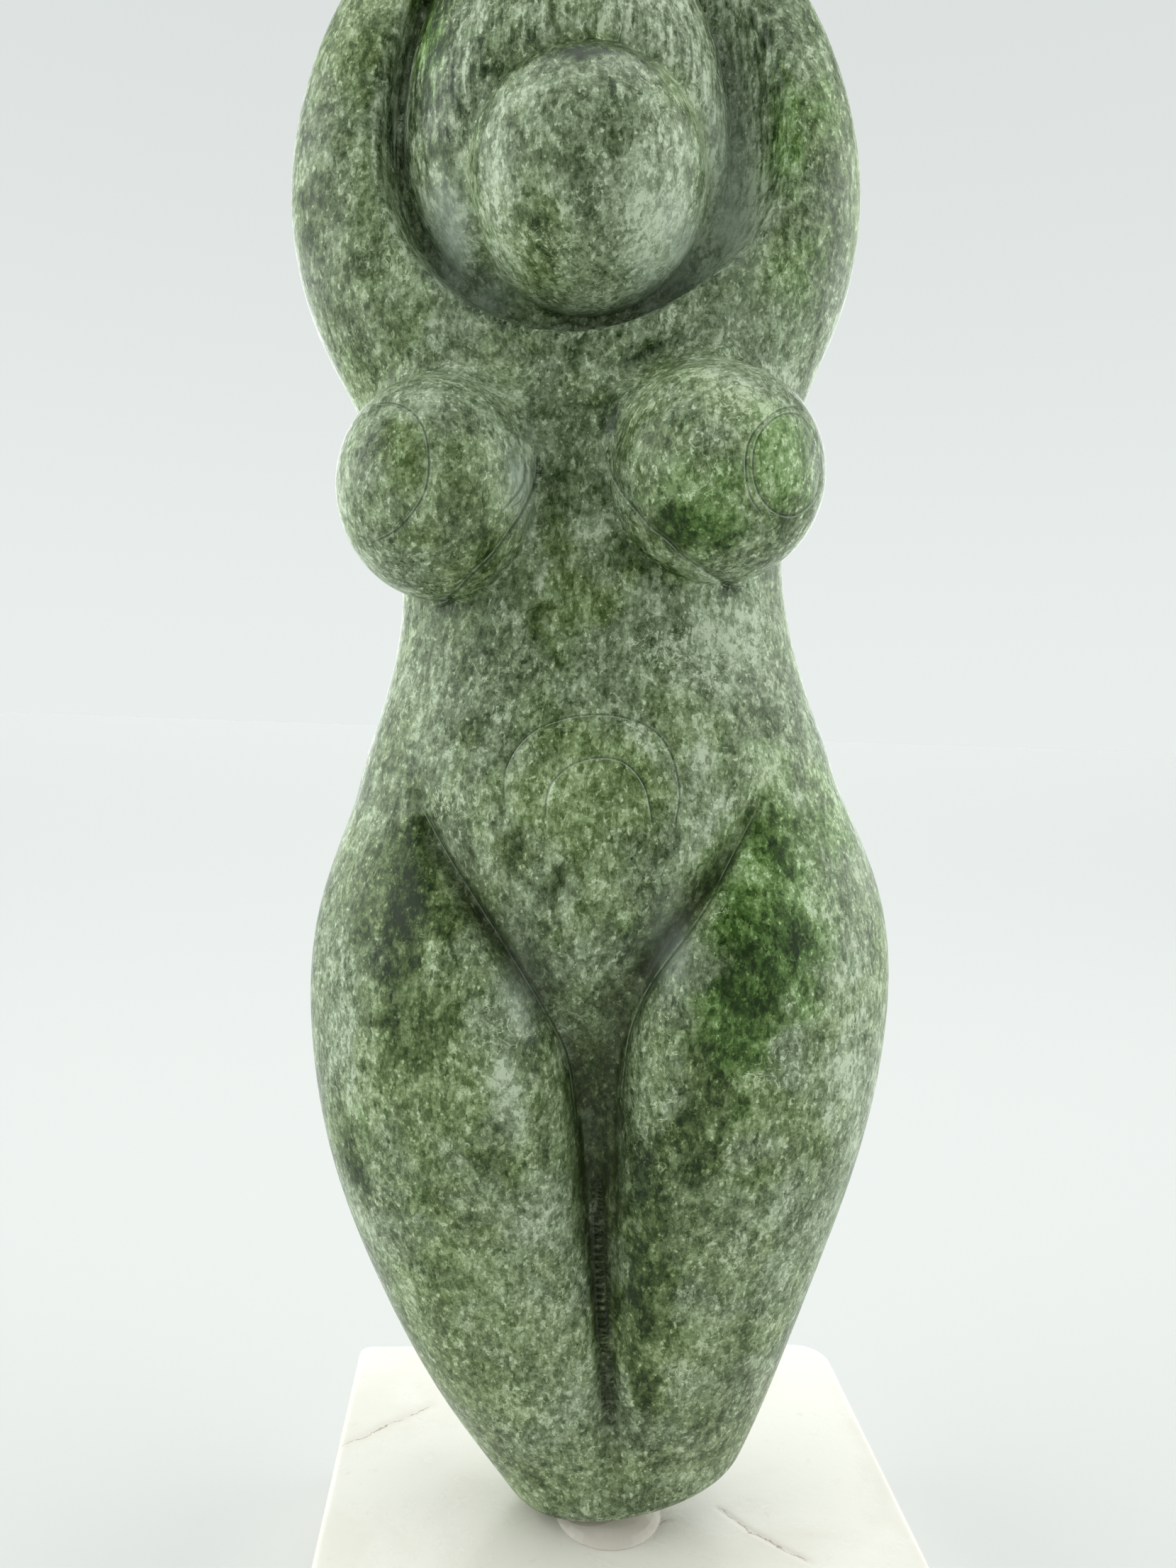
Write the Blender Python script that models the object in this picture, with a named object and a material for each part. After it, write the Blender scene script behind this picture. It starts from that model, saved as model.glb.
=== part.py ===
"""A carved stone goddess on a square stone block, in Blender.

Metres, +Z up. The origin is the middle of the block's underside and the figure looks towards -Y.
The figure is one stone: arms raised in an arch round an egg-shaped head of hair with a blank round
face, two round breasts, a rounded belly that ends in a V between full thighs, and legs that taper
to one narrow foot. It leans to one side on a clear bead, because its foot is cut on a slant.
"""

import itertools
import math

import bmesh
import bpy
import numpy as np
from mathutils import Matrix

# Driving dimensions, in metres and degrees
FIGURE_HEIGHT = 0.272
FIGURE_LEAN_DEG = 4.5  # to the figure's right, which is -X
FIGURE_TURN_DEG = -6.2  # about the upright axis, against the block
FIGURE_X = 0.0021
FIGURE_Y = 0.0016
FOOT_LIFT = 0.0014  # the foot's lowest edge stands this far above the block

BLOCK_WIDTH = 0.100
BLOCK_DEPTH = 0.100
BLOCK_THICKNESS = 0.0283
BLOCK_CORNER_ROUNDING = 0.0012
BLOCK_WORN_CORNER_ROUNDING = 0.0065  # the far right corner was rounded by hand
BLOCK_EDGE_ROUNDING = 0.0008

BEAD_DIAMETER = 0.018
BEAD_RISE = 0.0045
BEAD_X = -0.0017
BEAD_Y = -0.0012

TOUCHING_GAP = 0.0003  # between pieces that touch

# Mesh fineness
FIGURE_TRIANGLES = 8600
FIGURE_STEP = 0.0015  # of the grid that the figure's surface is first drawn on
LEAST_SHARE = 0.15  # how near a vertex may come to the end of its grid edge, so that no triangle is a sliver
SETTLING_ROUNDS = 4  # in which a vertex is moved onto the true surface
LONGEST_MOVE = 0.4  # in a round, as a share of a grid step
PROBE = 0.2  # how far off the slope is felt, as a share of a grid step
LEAST_STEEPNESS = 0.2
BEAD_SIDES = 32
BEAD_RINGS = 7
CORNER_STEPS = 5

# The figure is drawn on a grid this many units tall, and every size of its form below is in those units
GRID_HEIGHT = 272.0
GRID_ROOM = 5.0  # between the figure and the sides of its grid

# Body, as (height, size) stations that a smooth curve joins
MIDDLE = ((0, -1.9), (20, -3.1), (65, -3.0), (95, -1.5), (130, -0.8), (156, 0.0), (190, -0.4))
LEG_HALF_WIDTH = ((-4, 15.5), (4, 19.0), (10, 22.6), (20, 27.8), (40, 36.4), (60, 43.4), (78, 47.1))
HIP_HALF_WIDTH = ((92, 47.9), (105, 46.2), (120, 40.6), (135, 34.8))
WAIST_HALF_WIDTH = ((148, 31.2), (156, 30.3), (170, 31.5), (187, 34.0), (200, 34.0))
HALF_WIDTH = LEG_HALF_WIDTH + HIP_HALF_WIDTH + WAIST_HALF_WIDTH
LEG_FRONT_DEPTH = ((0, 11.0), (20, 16.0), (45, 21.5), (70, 25.5), (90, 26.5))
TRUNK_FRONT_DEPTH = ((112, 25.0), (130, 22.0), (150, 18.5), (170, 17.5), (184, 15.0), (197, 9.0))
FRONT_DEPTH = LEG_FRONT_DEPTH + TRUNK_FRONT_DEPTH
LEG_BACK_DEPTH = ((0, 10.0), (20, 15.0), (45, 19.0), (70, 21.0), (92, 21.5))
TRUNK_BACK_DEPTH = ((112, 20.0), (130, 17.5), (150, 16.5), (170, 16.5), (184, 13.0), (197, 8.0))
BACK_DEPTH = LEG_BACK_DEPTH + TRUNK_BACK_DEPTH
LEG_PARTING = ((0, 0.1), (20, 0.28), (50, 0.52), (75, 0.62), (92, 0.45), (112, 0.15), (130, 0.0))
LEG_BLEND = 3.0
TRUNK_TOP = 198.0
TRUNK_TOP_ROUNDING = 3.0
BUTTOCK = ((19.5, 9.0, 92.0), (20.5, 19.0, 24.0))
BUTTOCK_BLEND = 6.0
SIDE_DEPTH = 3.0  # relief begins this far out from the middle of the sides
FACE_ON_DEPTH = 9.0  # and is whole from here on

# The V of folds under the belly and the cleft below it: where its two sides run at each height,
# and how deep the fold is, how high the belly stands in it and how high the thighs' ridges are
CLEFT_LEFT = ((20, -2.3), (40, -2.7), (60, -3.9), (78, -4.7))
CLEFT_RIGHT = ((20, -1.4), (40, -0.9), (60, 0.1), (78, 1.0))
V_LEFT = ((84, -5.6), (90, -7.6), (96, -11.0), (103, -15.5), (110, -20.0), (117, -24.2), (127, -28.0))
V_RIGHT = ((84, 1.8), (91, 3.8), (98, 7.3), (105, 12.5), (112, 18.0), (120, 22.6), (127, 26.0))
FOLD_SLANT = ((78, 1.0), (88, 0.8), (96, 0.72), (110, 0.77), (120, 0.9))
FOLD_DEPTH = ((4, 0.0), (20, 1.0), (40, 1.8), (60, 2.8), (80, 3.6), (100, 3.8), (115, 2.4), (127, 0.0))
FOLD_SOFTNESS = 0.6
V_TIP_ROUNDING = 2.0
BELLY_HEIGHT = ((60, -2.2), (80, -2.6), (88, -1.0), (96, 0.8), (106, 1.8), (118, 1.6), (135, 1.0), (150, 0.0))
BELLY_SPREAD = 5.0
THIGH_RIDGE = ((10, 0.0), (40, 0.3), (70, 1.0), (90, 1.8), (105, 1.2), (120, 0.2), (130, 0.0))
THIGH_RIDGE_FROM_FOLD = ((45, 4.0), (62, 6.0), (76, 7.0), (88, 5.3), (96, 3.2), (106, 1.0))
THIGH_RIDGE_ROUNDING = 0.3
THIGH_RIDGE_FALL = 10.0
THIGH_SPREAD = 1.8

# Collar: trenches from breastbone to shoulders, as points in the front view with the neck on their left
COLLAR_RIGHT = ((3.0, 184.8), (6.0, 186.4), (12.5, 189.7), (19.4, 192.9), (24.0, 195.6))
COLLAR_LEFT = ((-21.0, 197.0), (-15.0, 193.6), (-8.5, 189.6), (-4.6, 187.0), (-2.0, 185.6))
COLLAR_DEPTHS = (2.4, 1.9)
COLLAR_STEEP_WIDTH = 1.3  # on the side next to the neck
COLLAR_WIDTH = 3.4
COLLAR_TAPER = 6.0  # at both ends

# Back: the cleft and the spine
CLEFT_DEPTH = ((10, 0.0), (30, 1.6), (70, 2.0), (95, 3.4), (112, 0.6))
SPINE_DEPTH = ((125, 1.2), (175, 1.2), (190, 0.0))
BACK_GROOVE_WIDTH = 3.0

# Foot: cut flat on a slant, and rounded into the sides
FOOT_CUT_HEIGHT = 0.9
FOOT_CUT_AT = -12.0
FOOT_CUT_SLOPE = 0.13
FOOT_ROUNDING = 4.0

# Head: hair and face have a centre, radii across, deep and down, and a radius up
HAIR = ((0.0, -2.5, 222.0), (25.0, 21.5, 25.6), 37.0)
HAIR_LEFT_RADIUS = 27.0
HAIR_BLEND = 0.6
FACE = ((2.0, -12.0, 214.4), (18.2, 17.6, 18.6), 18.6)
FACE_BLEND = 0.5
FACE_FACET = ((-0.966, -0.26), 17.0)  # a flat cut at its lower left: its direction and distance
FACE_FACET_ROUNDING = 0.6
FACE_TRENCH_DEPTH = 1.3  # the hair is sunk a little all round the face
FACE_TRENCH_WIDTH = 2.2

# The egg-shaped hollow round the head. Its wall leans outwards, most on the right
HOLLOW_CENTRE = (0.3, 219.0)
HOLLOW_RADII = (26.4, 24.3, 41.0)  # across, down, up
HOLLOW_RIGHT_RADIUS = 24.9
HOLLOW_FLOOR = -5.0
HOLLOW_FLARE = 0.25
HOLLOW_RIGHT_FLARE = ((194, 0.25), (204, 0.55), (216, 0.75), (250, 0.75))
HOLLOW_ROUNDING = 4.0
HOLLOW_EDGE_ROUNDING = 1.5

# Breasts: centre and radii. One runs softly into the chest above and meets it in a crease below
BREASTS = (
    ((-21.9, -16.5, 169.4), (15.0, 15.0, 16.4)),
    ((19.6, -16.5, 169.6), (16.0, 15.0, 16.0)),
)
BREAST_BLEND = ((160, 1.2), (172, 2.0), (182, 6.0))

# Arch of the arms: an egg outline, thick as a stick that narrows upwards
ARCH_CENTRE = (-0.3, 216.0)
ARCH_HALF_WIDTH = 45.3
ARCH_DOWN = 50.0
ARCH_UP = 55.5
ARCH_POINTEDNESS = 1.85  # above the arch's widest place, where 2 would be an ellipse
ARCH_REACH = ((166, 46.0), (216, 45.3), (272, 52.0))
ARM_BLEND = 5.0
ARM_ROUNDING = 15.0
ARM_HALF_DEPTH = ((160, 9.0), (175, 12.5), (190, 15.5), (205, 15.5), (230, 13.5), (272, 9.0))


def curve_at(height, *stations):
    """A smooth curve through (height, value) stations, level at both ends and beyond them."""
    at, value = np.array(stations, float).T
    step = np.diff(at)
    slope = np.diff(value) / step
    count = len(at)
    matrix = np.zeros((count, count))
    wanted = np.zeros(count)
    for i in range(count - 1):
        matrix[i, i] += 2 * step[i]
        matrix[i + 1, i + 1] += 2 * step[i]
        matrix[i, i + 1] = step[i]
        matrix[i + 1, i] = step[i]
        wanted[i] += 6 * slope[i]
        wanted[i + 1] -= 6 * slope[i]
    bend = np.linalg.solve(matrix, wanted)
    height = np.clip(height, at[0], at[-1])
    span = np.clip(np.searchsorted(at, height, side="right") - 1, 0, count - 2)
    width = step[span]
    after = (height - at[span]) / width
    before = 1 - after
    straight = before * value[span] + after * value[span + 1]
    curl = (before**3 - before) * bend[span] + (after**3 - after) * bend[span + 1]
    return straight + curl * width**2 / 6


def joined(first, second, blend):
    """Two forms as one, with a fillet about as wide as the blend. A form is negative inside."""
    near = np.maximum(blend - np.abs(first - second), 0.0) / blend
    return np.minimum(first, second) - near * near * blend * 0.25


def within(first, second, blend):
    """What two forms share, with a rounded edge."""
    return -joined(-first, -second, blend)


def cut_from(form, cutter, blend):
    return within(form, -cutter, blend)


def rounded(scaled, radii):
    """About the distance to an ellipse or ellipsoid, from coordinates divided by its radii."""
    reach = np.sqrt(sum(part * part for part in scaled))
    steep = np.sqrt(sum((part / radius) ** 2 for part, radius in zip(scaled, radii)))
    return reach * (reach - 1) / np.maximum(steep, 1e-6)


def ellipsoid(x, y, z, centre, radii, radius_up=None, radius_left=None):
    wide, deep, down = radii
    tall = down if radius_up is None else np.where(z > centre[2], radius_up, down)
    wide = wide if radius_left is None else np.where(x < centre[0], radius_left, wide)
    scaled = ((x - centre[0]) / wide, (y - centre[1]) / deep, (z - centre[2]) / tall)
    return rounded(scaled, (wide, deep, tall))


def hump(distance, width):
    return np.exp(-((distance / width) ** 2))


def facing(depth):
    """0 on the sides and 1 where the surface is well to the front, from the depth towards it."""
    return np.clip((depth - SIDE_DEPTH) / (FACE_ON_DEPTH - SIDE_DEPTH), 0, 1)


def beside_path(x, z, points):
    """How far a point is to the left of a path or, below 0, to its right, and how far along the path."""
    nearest = np.full(np.shape(x), np.inf)
    run = np.zeros(np.shape(x))
    walked = 0.0
    for (ax, az), (bx, bz) in zip(points[:-1], points[1:]):
        length = math.hypot(bx - ax, bz - az)
        ahead_x = (bx - ax) / length
        ahead_z = (bz - az) / length
        along = np.clip((x - ax) * ahead_x + (z - az) * ahead_z, 0, length)
        off_x = x - ax - along * ahead_x
        off_z = z - az - along * ahead_z
        away = np.hypot(off_x, off_z)
        nearer = away < np.abs(nearest)
        nearest = np.where(nearer, away * np.sign(ahead_x * off_z - ahead_z * off_x), nearest)
        run = np.where(nearer, walked + along, run)
        walked += length
    return nearest, run


def legs_and_trunk(x, y, z):
    """Two upright forms side by side, which part at the thighs and are one from the hips up."""
    half = curve_at(z, *HALF_WIDTH)
    deep = np.where(y < 0, curve_at(z, *FRONT_DEPTH), curve_at(z, *BACK_DEPTH))
    parting = curve_at(z, *LEG_PARTING)
    offset = half * parting / (1 + parting)
    wide = half / (1 + parting)
    sides = [rounded(((x + offset * side) / wide, y / deep), (wide, deep)) for side in (-1, 1)]
    trunk = joined(sides[0], sides[1], LEG_BLEND)
    trunk = within(trunk, z - TRUNK_TOP, TRUNK_TOP_ROUNDING)
    (across, behind, up), radii = BUTTOCK
    for side in (-1, 1):
        trunk = joined(trunk, ellipsoid(x, y, z, (side * across, behind, up), radii), BUTTOCK_BLEND)
    return trunk


def belly_and_thigh_relief(x, z):
    """Height of the front relief: a V of folds, the belly in it, ridges beside it, and the cleft below."""
    left = x - curve_at(z, *CLEFT_LEFT, *V_LEFT)
    right = curve_at(z, *CLEFT_RIGHT, *V_RIGHT) - x
    inside = joined(left, right, V_TIP_ROUNDING) * curve_at(z, *FOLD_SLANT)
    from_fold = np.sqrt(inside**2 + FOLD_SOFTNESS**2) - FOLD_SOFTNESS
    fold = curve_at(z, *FOLD_DEPTH)
    belly = curve_at(z, *BELLY_HEIGHT)
    belly_side = (belly + fold) * (1 - np.exp(-from_fold / BELLY_SPREAD)) - fold
    ridge_from_fold = curve_at(z, *THIGH_RIDGE_FROM_FOLD)
    rise = joined(from_fold / ridge_from_fold, 1.0, THIGH_RIDGE_ROUNDING)
    fall = np.exp(-np.maximum(from_fold - ridge_from_fold, 0) / THIGH_RIDGE_FALL)
    thigh_side = curve_at(z, *THIGH_RIDGE) * rise * fall - fold * np.exp(-from_fold / THIGH_SPREAD)
    return np.where(inside > 0, belly_side, thigh_side)


def collar_relief(x, z):
    """Two trenches that run from the breastbone up to the shoulders, steep on the side next to the neck."""
    height = 0.0
    for points, depth in zip((COLLAR_RIGHT, COLLAR_LEFT), COLLAR_DEPTHS):
        offset, run = beside_path(x, z, points)
        total = sum(math.dist(start, end) for start, end in zip(points[:-1], points[1:]))
        fade = np.clip(np.minimum(run, total - run) / COLLAR_TAPER, 0, 1)
        width = np.where(offset > 0, COLLAR_STEEP_WIDTH, COLLAR_WIDTH)
        height = height - depth * fade * hump(offset, width)
    return height


def back_relief(x, z):
    """The cleft between the buttocks and legs, and the spine."""
    return -curve_at(z, *CLEFT_DEPTH, *SPINE_DEPTH) * hump(x, BACK_GROOVE_WIDTH)


def arms(x, y, z):
    """The raised arms: a thick rounded arch that springs from the chest."""
    above = z > ARCH_CENTRE[1]
    across = (x - ARCH_CENTRE[0]) / ARCH_HALF_WIDTH
    up = np.abs(z - ARCH_CENTRE[1]) / np.where(above, ARCH_UP, ARCH_DOWN)
    reach = np.sqrt(across**2 + np.maximum(up, 1e-6) ** np.where(above, ARCH_POINTEDNESS, 2.0))
    outline = (reach - 1) * curve_at(z, *ARCH_REACH)
    thick = curve_at(z, *ARM_HALF_DEPTH)
    from_rim = np.maximum(outline + ARM_ROUNDING, 0) / ARM_ROUNDING
    return (np.sqrt(from_rim**2 + (y / thick) ** 2) - 1) * np.minimum(ARM_ROUNDING, thick)


def hollow_round_the_head(x, y, z):
    """The egg-shaped sinking in the front that leaves a groove between hair and arms."""
    across, down, up = HOLLOW_RADII
    from_middle = x - HOLLOW_CENTRE[0]
    wide = np.where(from_middle > 0, HOLLOW_RIGHT_RADIUS, across)
    tall = np.where(z > HOLLOW_CENTRE[1], up, down)
    egg = rounded((from_middle / wide, (z - HOLLOW_CENTRE[1]) / tall), (wide, tall))
    to_right = np.clip(from_middle / across * 2, 0, 1)
    flare = HOLLOW_FLARE + (curve_at(z, *HOLLOW_RIGHT_FLARE) - HOLLOW_FLARE) * to_right
    return within(egg + flare * (y - HOLLOW_FLOOR), y - HOLLOW_FLOOR, HOLLOW_ROUNDING)


def face_and_hair(x, y, z):
    """The forms of the face and of the hair round it."""
    (across, up), reach = FACE_FACET
    facet = (x - FACE[0][0]) * across + (z - FACE[0][2]) * up - reach
    face = within(ellipsoid(x, y, z, *FACE), facet, FACE_FACET_ROUNDING)
    hair = ellipsoid(x, y, z, *HAIR, HAIR_LEFT_RADIUS)
    return face, hair + FACE_TRENCH_DEPTH * facing(-y) * hump(np.maximum(face, 0), FACE_TRENCH_WIDTH)


def figure_form(x, y, z):
    """Negative inside the stone, positive outside and about the distance to its surface, in grid units."""
    from_middle = x - curve_at(z, *MIDDLE)
    form = legs_and_trunk(from_middle, y, z)
    form = form - facing(-y) * belly_and_thigh_relief(x, z)
    form = form - facing(y) * back_relief(from_middle, z)
    form = joined(form, arms(x, y, z), ARM_BLEND)
    form = form - facing(-y) * collar_relief(x, z)
    form = cut_from(form, hollow_round_the_head(x, y, z), HOLLOW_EDGE_ROUNDING)
    face, hair = face_and_hair(x, y, z)
    form = joined(form, hair, HAIR_BLEND)
    form = joined(form, face, FACE_BLEND)
    for centre, radii in BREASTS:
        form = joined(form, ellipsoid(x, y, z, centre, radii), curve_at(z, *BREAST_BLEND))
    foot_cut = FOOT_CUT_HEIGHT + FOOT_CUT_SLOPE * (x - FOOT_CUT_AT) - z
    return within(form, foot_cut, FOOT_ROUNDING)


def slope_of(form, points, reach):
    """The form's gradient at each point."""
    columns = []
    for shift in np.eye(3) * reach:
        columns.append(form(*(points + shift).T) - form(*(points - shift).T))
    return np.stack(columns, 1) / (2 * reach)


def even_orders():
    """The orders of a tetrahedron's four corners that keep its handedness."""
    orders = []
    for order in itertools.permutations(range(4)):
        swaps = sum(order[i] > order[j] for i in range(4) for j in range(i + 1, 4))
        if swaps % 2 == 0:
            orders.append(order)
    return orders


def surface_mesh(form, low, high, step):
    """Vertices and triangles of the form's surface, from a grid whose cubes are six tetrahedra each.

    A tetrahedron has one, two or three corners inside the form, so the surface crosses it in a
    triangle or a four-sided piece, and the pieces of all of them always close up.
    """
    lines = [np.arange(start, end + step, step) for start, end in zip(low, high)]
    value = form(*np.meshgrid(*lines, indexing="ij"))
    inside = value < 0
    strides = np.array([value.shape[1] * value.shape[2], value.shape[2], 1])
    lower, upper = slice(None, -1), slice(1, None)
    corners_in = sum(inside[cube].astype(int) for cube in itertools.product((lower, upper), repeat=3))
    cubes = np.argwhere((corners_in > 0) & (corners_in < 8)) @ strides
    tetrahedra = []
    for order in itertools.permutations(range(3)):
        first = cubes + strides[order[0]]
        second = first + strides[order[1]]
        last = second + strides[order[2]]
        if order in ((0, 2, 1), (1, 0, 2), (2, 1, 0)):
            first, second = second, first
        tetrahedra.append(np.stack([cubes, first, second, last], 1))
    tetrahedra = np.concatenate(tetrahedra)
    corner_in = inside.ravel()[tetrahedra]
    pattern = corner_in @ [1, 2, 4, 8]
    ends = []
    done = set()
    for i, j, k, m in even_orders():
        one_in = ((i, j), (i, k), (i, m))
        one_out = ((i, m), (i, k), (i, j))
        two_in = ((i, k), (i, m), (j, m), (j, k))
        for mask, piece in ((2**i, one_in), (15 - 2**i, one_out), (2**i + 2**j, two_in)):
            if mask in done:
                continue
            done.add(mask)
            crossed = tetrahedra[pattern == mask]
            for a, b in zip(piece[1:-1], piece[2:]):
                ends.append(np.stack([crossed[:, piece[0]], crossed[:, a], crossed[:, b]], 1))
    ends = np.sort(np.concatenate(ends), axis=2)
    keys, number = np.unique(ends.reshape(-1, 2), axis=0, return_inverse=True)
    start = np.stack(np.unravel_index(keys[:, 0], value.shape), 1)
    end = np.stack(np.unravel_index(keys[:, 1], value.shape), 1)
    before = value.ravel()[keys[:, 0]]
    after = value.ravel()[keys[:, 1]]
    share = np.clip(before / (before - after), LEAST_SHARE, 1 - LEAST_SHARE)
    vertices = np.array(low) + (start + (end - start) * share[:, None]) * step
    for _ in range(SETTLING_ROUNDS):
        slope = slope_of(form, vertices, PROBE * step)
        steep = np.maximum((slope**2).sum(1), LEAST_STEEPNESS)
        move = (form(*vertices.T) / steep)[:, None] * slope
        vertices = vertices - np.clip(move, -LONGEST_MOVE * step, LONGEST_MOVE * step)
    return vertices, number.reshape(-1, 3)


def clear_scene():
    for thing in list(bpy.data.objects):
        bpy.data.objects.remove(thing, do_unlink=True)


def material(name, colour, roughness, alpha=1.0):
    made = bpy.data.materials.new(name)
    made.use_nodes = True
    shader = made.node_tree.nodes["Principled BSDF"]
    shader.inputs["Base Color"].default_value = (*colour, 1.0)
    shader.inputs["Roughness"].default_value = roughness
    shader.inputs["Metallic"].default_value = 0.0
    shader.inputs["Alpha"].default_value = alpha
    return made


def add_object(name, mesh, finish):
    made = bpy.data.objects.new(name, mesh)
    made.data.materials.append(finish)
    bpy.context.scene.collection.objects.link(made)
    return made


def figure_placing():
    """From the figure's own upright frame to its place on the block."""
    lean = Matrix.Rotation(math.radians(-FIGURE_LEAN_DEG), 4, "Y")
    turn = Matrix.Rotation(math.radians(FIGURE_TURN_DEG), 4, "Z")
    foot = Matrix.Translation((FIGURE_X, FIGURE_Y, BLOCK_THICKNESS + FOOT_LIFT))
    return foot @ turn @ lean


def figure_box():
    """The low and high corners of the figure's grid, in grid units."""
    half_width = max(ARCH_HALF_WIDTH, *dict(HALF_WIDTH).values()) + GRID_ROOM
    front = max(*dict(FRONT_DEPTH).values(), *(radii[1] - centre[1] for centre, radii in BREASTS)) + GRID_ROOM
    back = max(*dict(BACK_DEPTH).values(), BUTTOCK[0][1] + BUTTOCK[1][1]) + GRID_ROOM
    top = ARCH_CENTRE[1] + ARCH_UP + GRID_ROOM
    return (-half_width, -front, -GRID_ROOM), (half_width, back, top)


def build_figure():
    unit = FIGURE_HEIGHT / GRID_HEIGHT
    vertices, faces = surface_mesh(figure_form, *figure_box(), FIGURE_STEP / unit)
    mesh = bpy.data.meshes.new("goddess_figure")
    mesh.from_pydata((vertices * unit).tolist(), [], faces.tolist())
    mesh.shade_smooth()
    figure = add_object("goddess_figure", mesh, material("green_stone", (0.17, 0.24, 0.14), 0.32))
    fewer = figure.modifiers.new("fewer_faces", "DECIMATE")
    fewer.ratio = FIGURE_TRIANGLES / len(faces)
    fewer.use_collapse_triangulate = True
    figure.matrix_world = figure_placing()
    return figure


def rounded_square(half_width, half_depth, rounding, worn_rounding):
    """The block's outline, anticlockwise, with its far right corner more rounded than the others."""
    corners = ((1, -1, rounding), (1, 1, worn_rounding), (-1, 1, rounding), (-1, -1, rounding))
    points = []
    for quarter, (side_x, side_y, radius) in enumerate(corners):
        centre_x = side_x * (half_width - radius)
        centre_y = side_y * (half_depth - radius)
        for step in range(CORNER_STEPS + 1):
            angle = (quarter - 1 + step / CORNER_STEPS) * math.pi / 2
            points.append((centre_x + radius * math.cos(angle), centre_y + radius * math.sin(angle)))
    return points


def build_block():
    """Layers of one outline, drawn in a little at the rounded upper and lower edges."""
    layers = []
    for step in range(3):
        angle = step / 2 * math.pi / 2
        inwards = BLOCK_EDGE_ROUNDING * (1 - math.sin(angle))
        layers.append((inwards, BLOCK_EDGE_ROUNDING * (1 - math.cos(angle))))
    layers += [(inwards, BLOCK_THICKNESS - height) for inwards, height in reversed(layers)]
    form = bmesh.new()
    rings = []
    for inwards, height in layers:
        outline = rounded_square(
            BLOCK_WIDTH / 2 - inwards,
            BLOCK_DEPTH / 2 - inwards,
            BLOCK_CORNER_ROUNDING,
            BLOCK_WORN_CORNER_ROUNDING,
        )
        rings.append([form.verts.new((x, y, height)) for x, y in outline])
    form.faces.new(list(reversed(rings[0])))
    form.faces.new(rings[-1])
    for lower, upper in zip(rings[:-1], rings[1:]):
        for i in range(len(lower)):
            after = (i + 1) % len(lower)
            form.faces.new((lower[i], lower[after], upper[after], upper[i]))
    mesh = bpy.data.meshes.new("stone_base_block")
    form.to_mesh(mesh)
    form.free()
    return add_object("stone_base_block", mesh, material("cream_stone", (0.80, 0.77, 0.71), 0.35))


def build_foot_cutter():
    """A box above the plane of the foot's underside, kept clear of it by the gap."""
    unit = FIGURE_HEIGHT / GRID_HEIGHT
    size = 4 * BEAD_DIAMETER
    mesh = bpy.data.meshes.new("foot_plane_cutter")
    form = bmesh.new()
    bmesh.ops.create_cube(form, size=size)
    form.to_mesh(mesh)
    form.free()
    cutter = bpy.data.objects.new("foot_plane_cutter", mesh)
    bpy.context.scene.collection.objects.link(cutter)
    cut_point = Matrix.Translation((FOOT_CUT_AT * unit, 0, FOOT_CUT_HEIGHT * unit))
    slant = Matrix.Rotation(-math.atan(FOOT_CUT_SLOPE), 4, "Y")
    above = Matrix.Translation((0, 0, size / 2 - TOUCHING_GAP))
    cutter.matrix_world = figure_placing() @ cut_point @ slant @ above
    cutter.hide_render = True
    cutter.display_type = "WIRE"
    return cutter


def build_bead():
    """A low dome on the block, whose top is pressed flat by the slanted foot."""
    radius = BEAD_DIAMETER / 2
    ball_radius = (radius**2 + BEAD_RISE**2) / (2 * BEAD_RISE)
    full_angle = math.asin(radius / ball_radius)
    form = bmesh.new()
    rings = []
    for ring in range(BEAD_RINGS):
        angle = full_angle * (1 - ring / BEAD_RINGS)
        across = ball_radius * math.sin(angle)
        height = ball_radius * (math.cos(angle) - math.cos(full_angle))
        rings.append(
            [
                form.verts.new((across * math.cos(turn), across * math.sin(turn), height))
                for turn in (2 * math.pi * side / BEAD_SIDES for side in range(BEAD_SIDES))
            ]
        )
    top = form.verts.new((0, 0, BEAD_RISE))
    form.faces.new(list(reversed(rings[0])))
    for lower, upper in zip(rings[:-1], rings[1:]):
        for i in range(BEAD_SIDES):
            after = (i + 1) % BEAD_SIDES
            form.faces.new((lower[i], lower[after], upper[after], upper[i]))
    for i in range(BEAD_SIDES):
        form.faces.new((rings[-1][i], rings[-1][(i + 1) % BEAD_SIDES], top))
    mesh = bpy.data.meshes.new("clear_mounting_bead")
    form.to_mesh(mesh)
    form.free()
    clear_gel = material("clear_gel", (0.93, 0.93, 0.90), 0.05, alpha=0.35)
    bead = add_object("clear_mounting_bead", mesh, clear_gel)
    bead.location = (BEAD_X, BEAD_Y, BLOCK_THICKNESS + TOUCHING_GAP)
    pressed = bead.modifiers.new("pressed_by_the_foot", "BOOLEAN")
    pressed.operation = "DIFFERENCE"
    pressed.solver = "EXACT"
    pressed.object = build_foot_cutter()
    return bead


def main():
    clear_scene()
    build_block()
    build_figure()
    build_bead()


main()
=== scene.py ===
"""The looks of a carved green stone goddess on a clear bead and a cream stone block.

The figure's mesh is drawn from the same form as its solid, with the finer carving added to it.
Sizes of the figure's form are in its own upright grid of 272 units, which is its height in millimetres.
"""

import itertools
import math

import bmesh
import bpy
import numpy as np
from mathutils import Matrix, Vector


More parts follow.
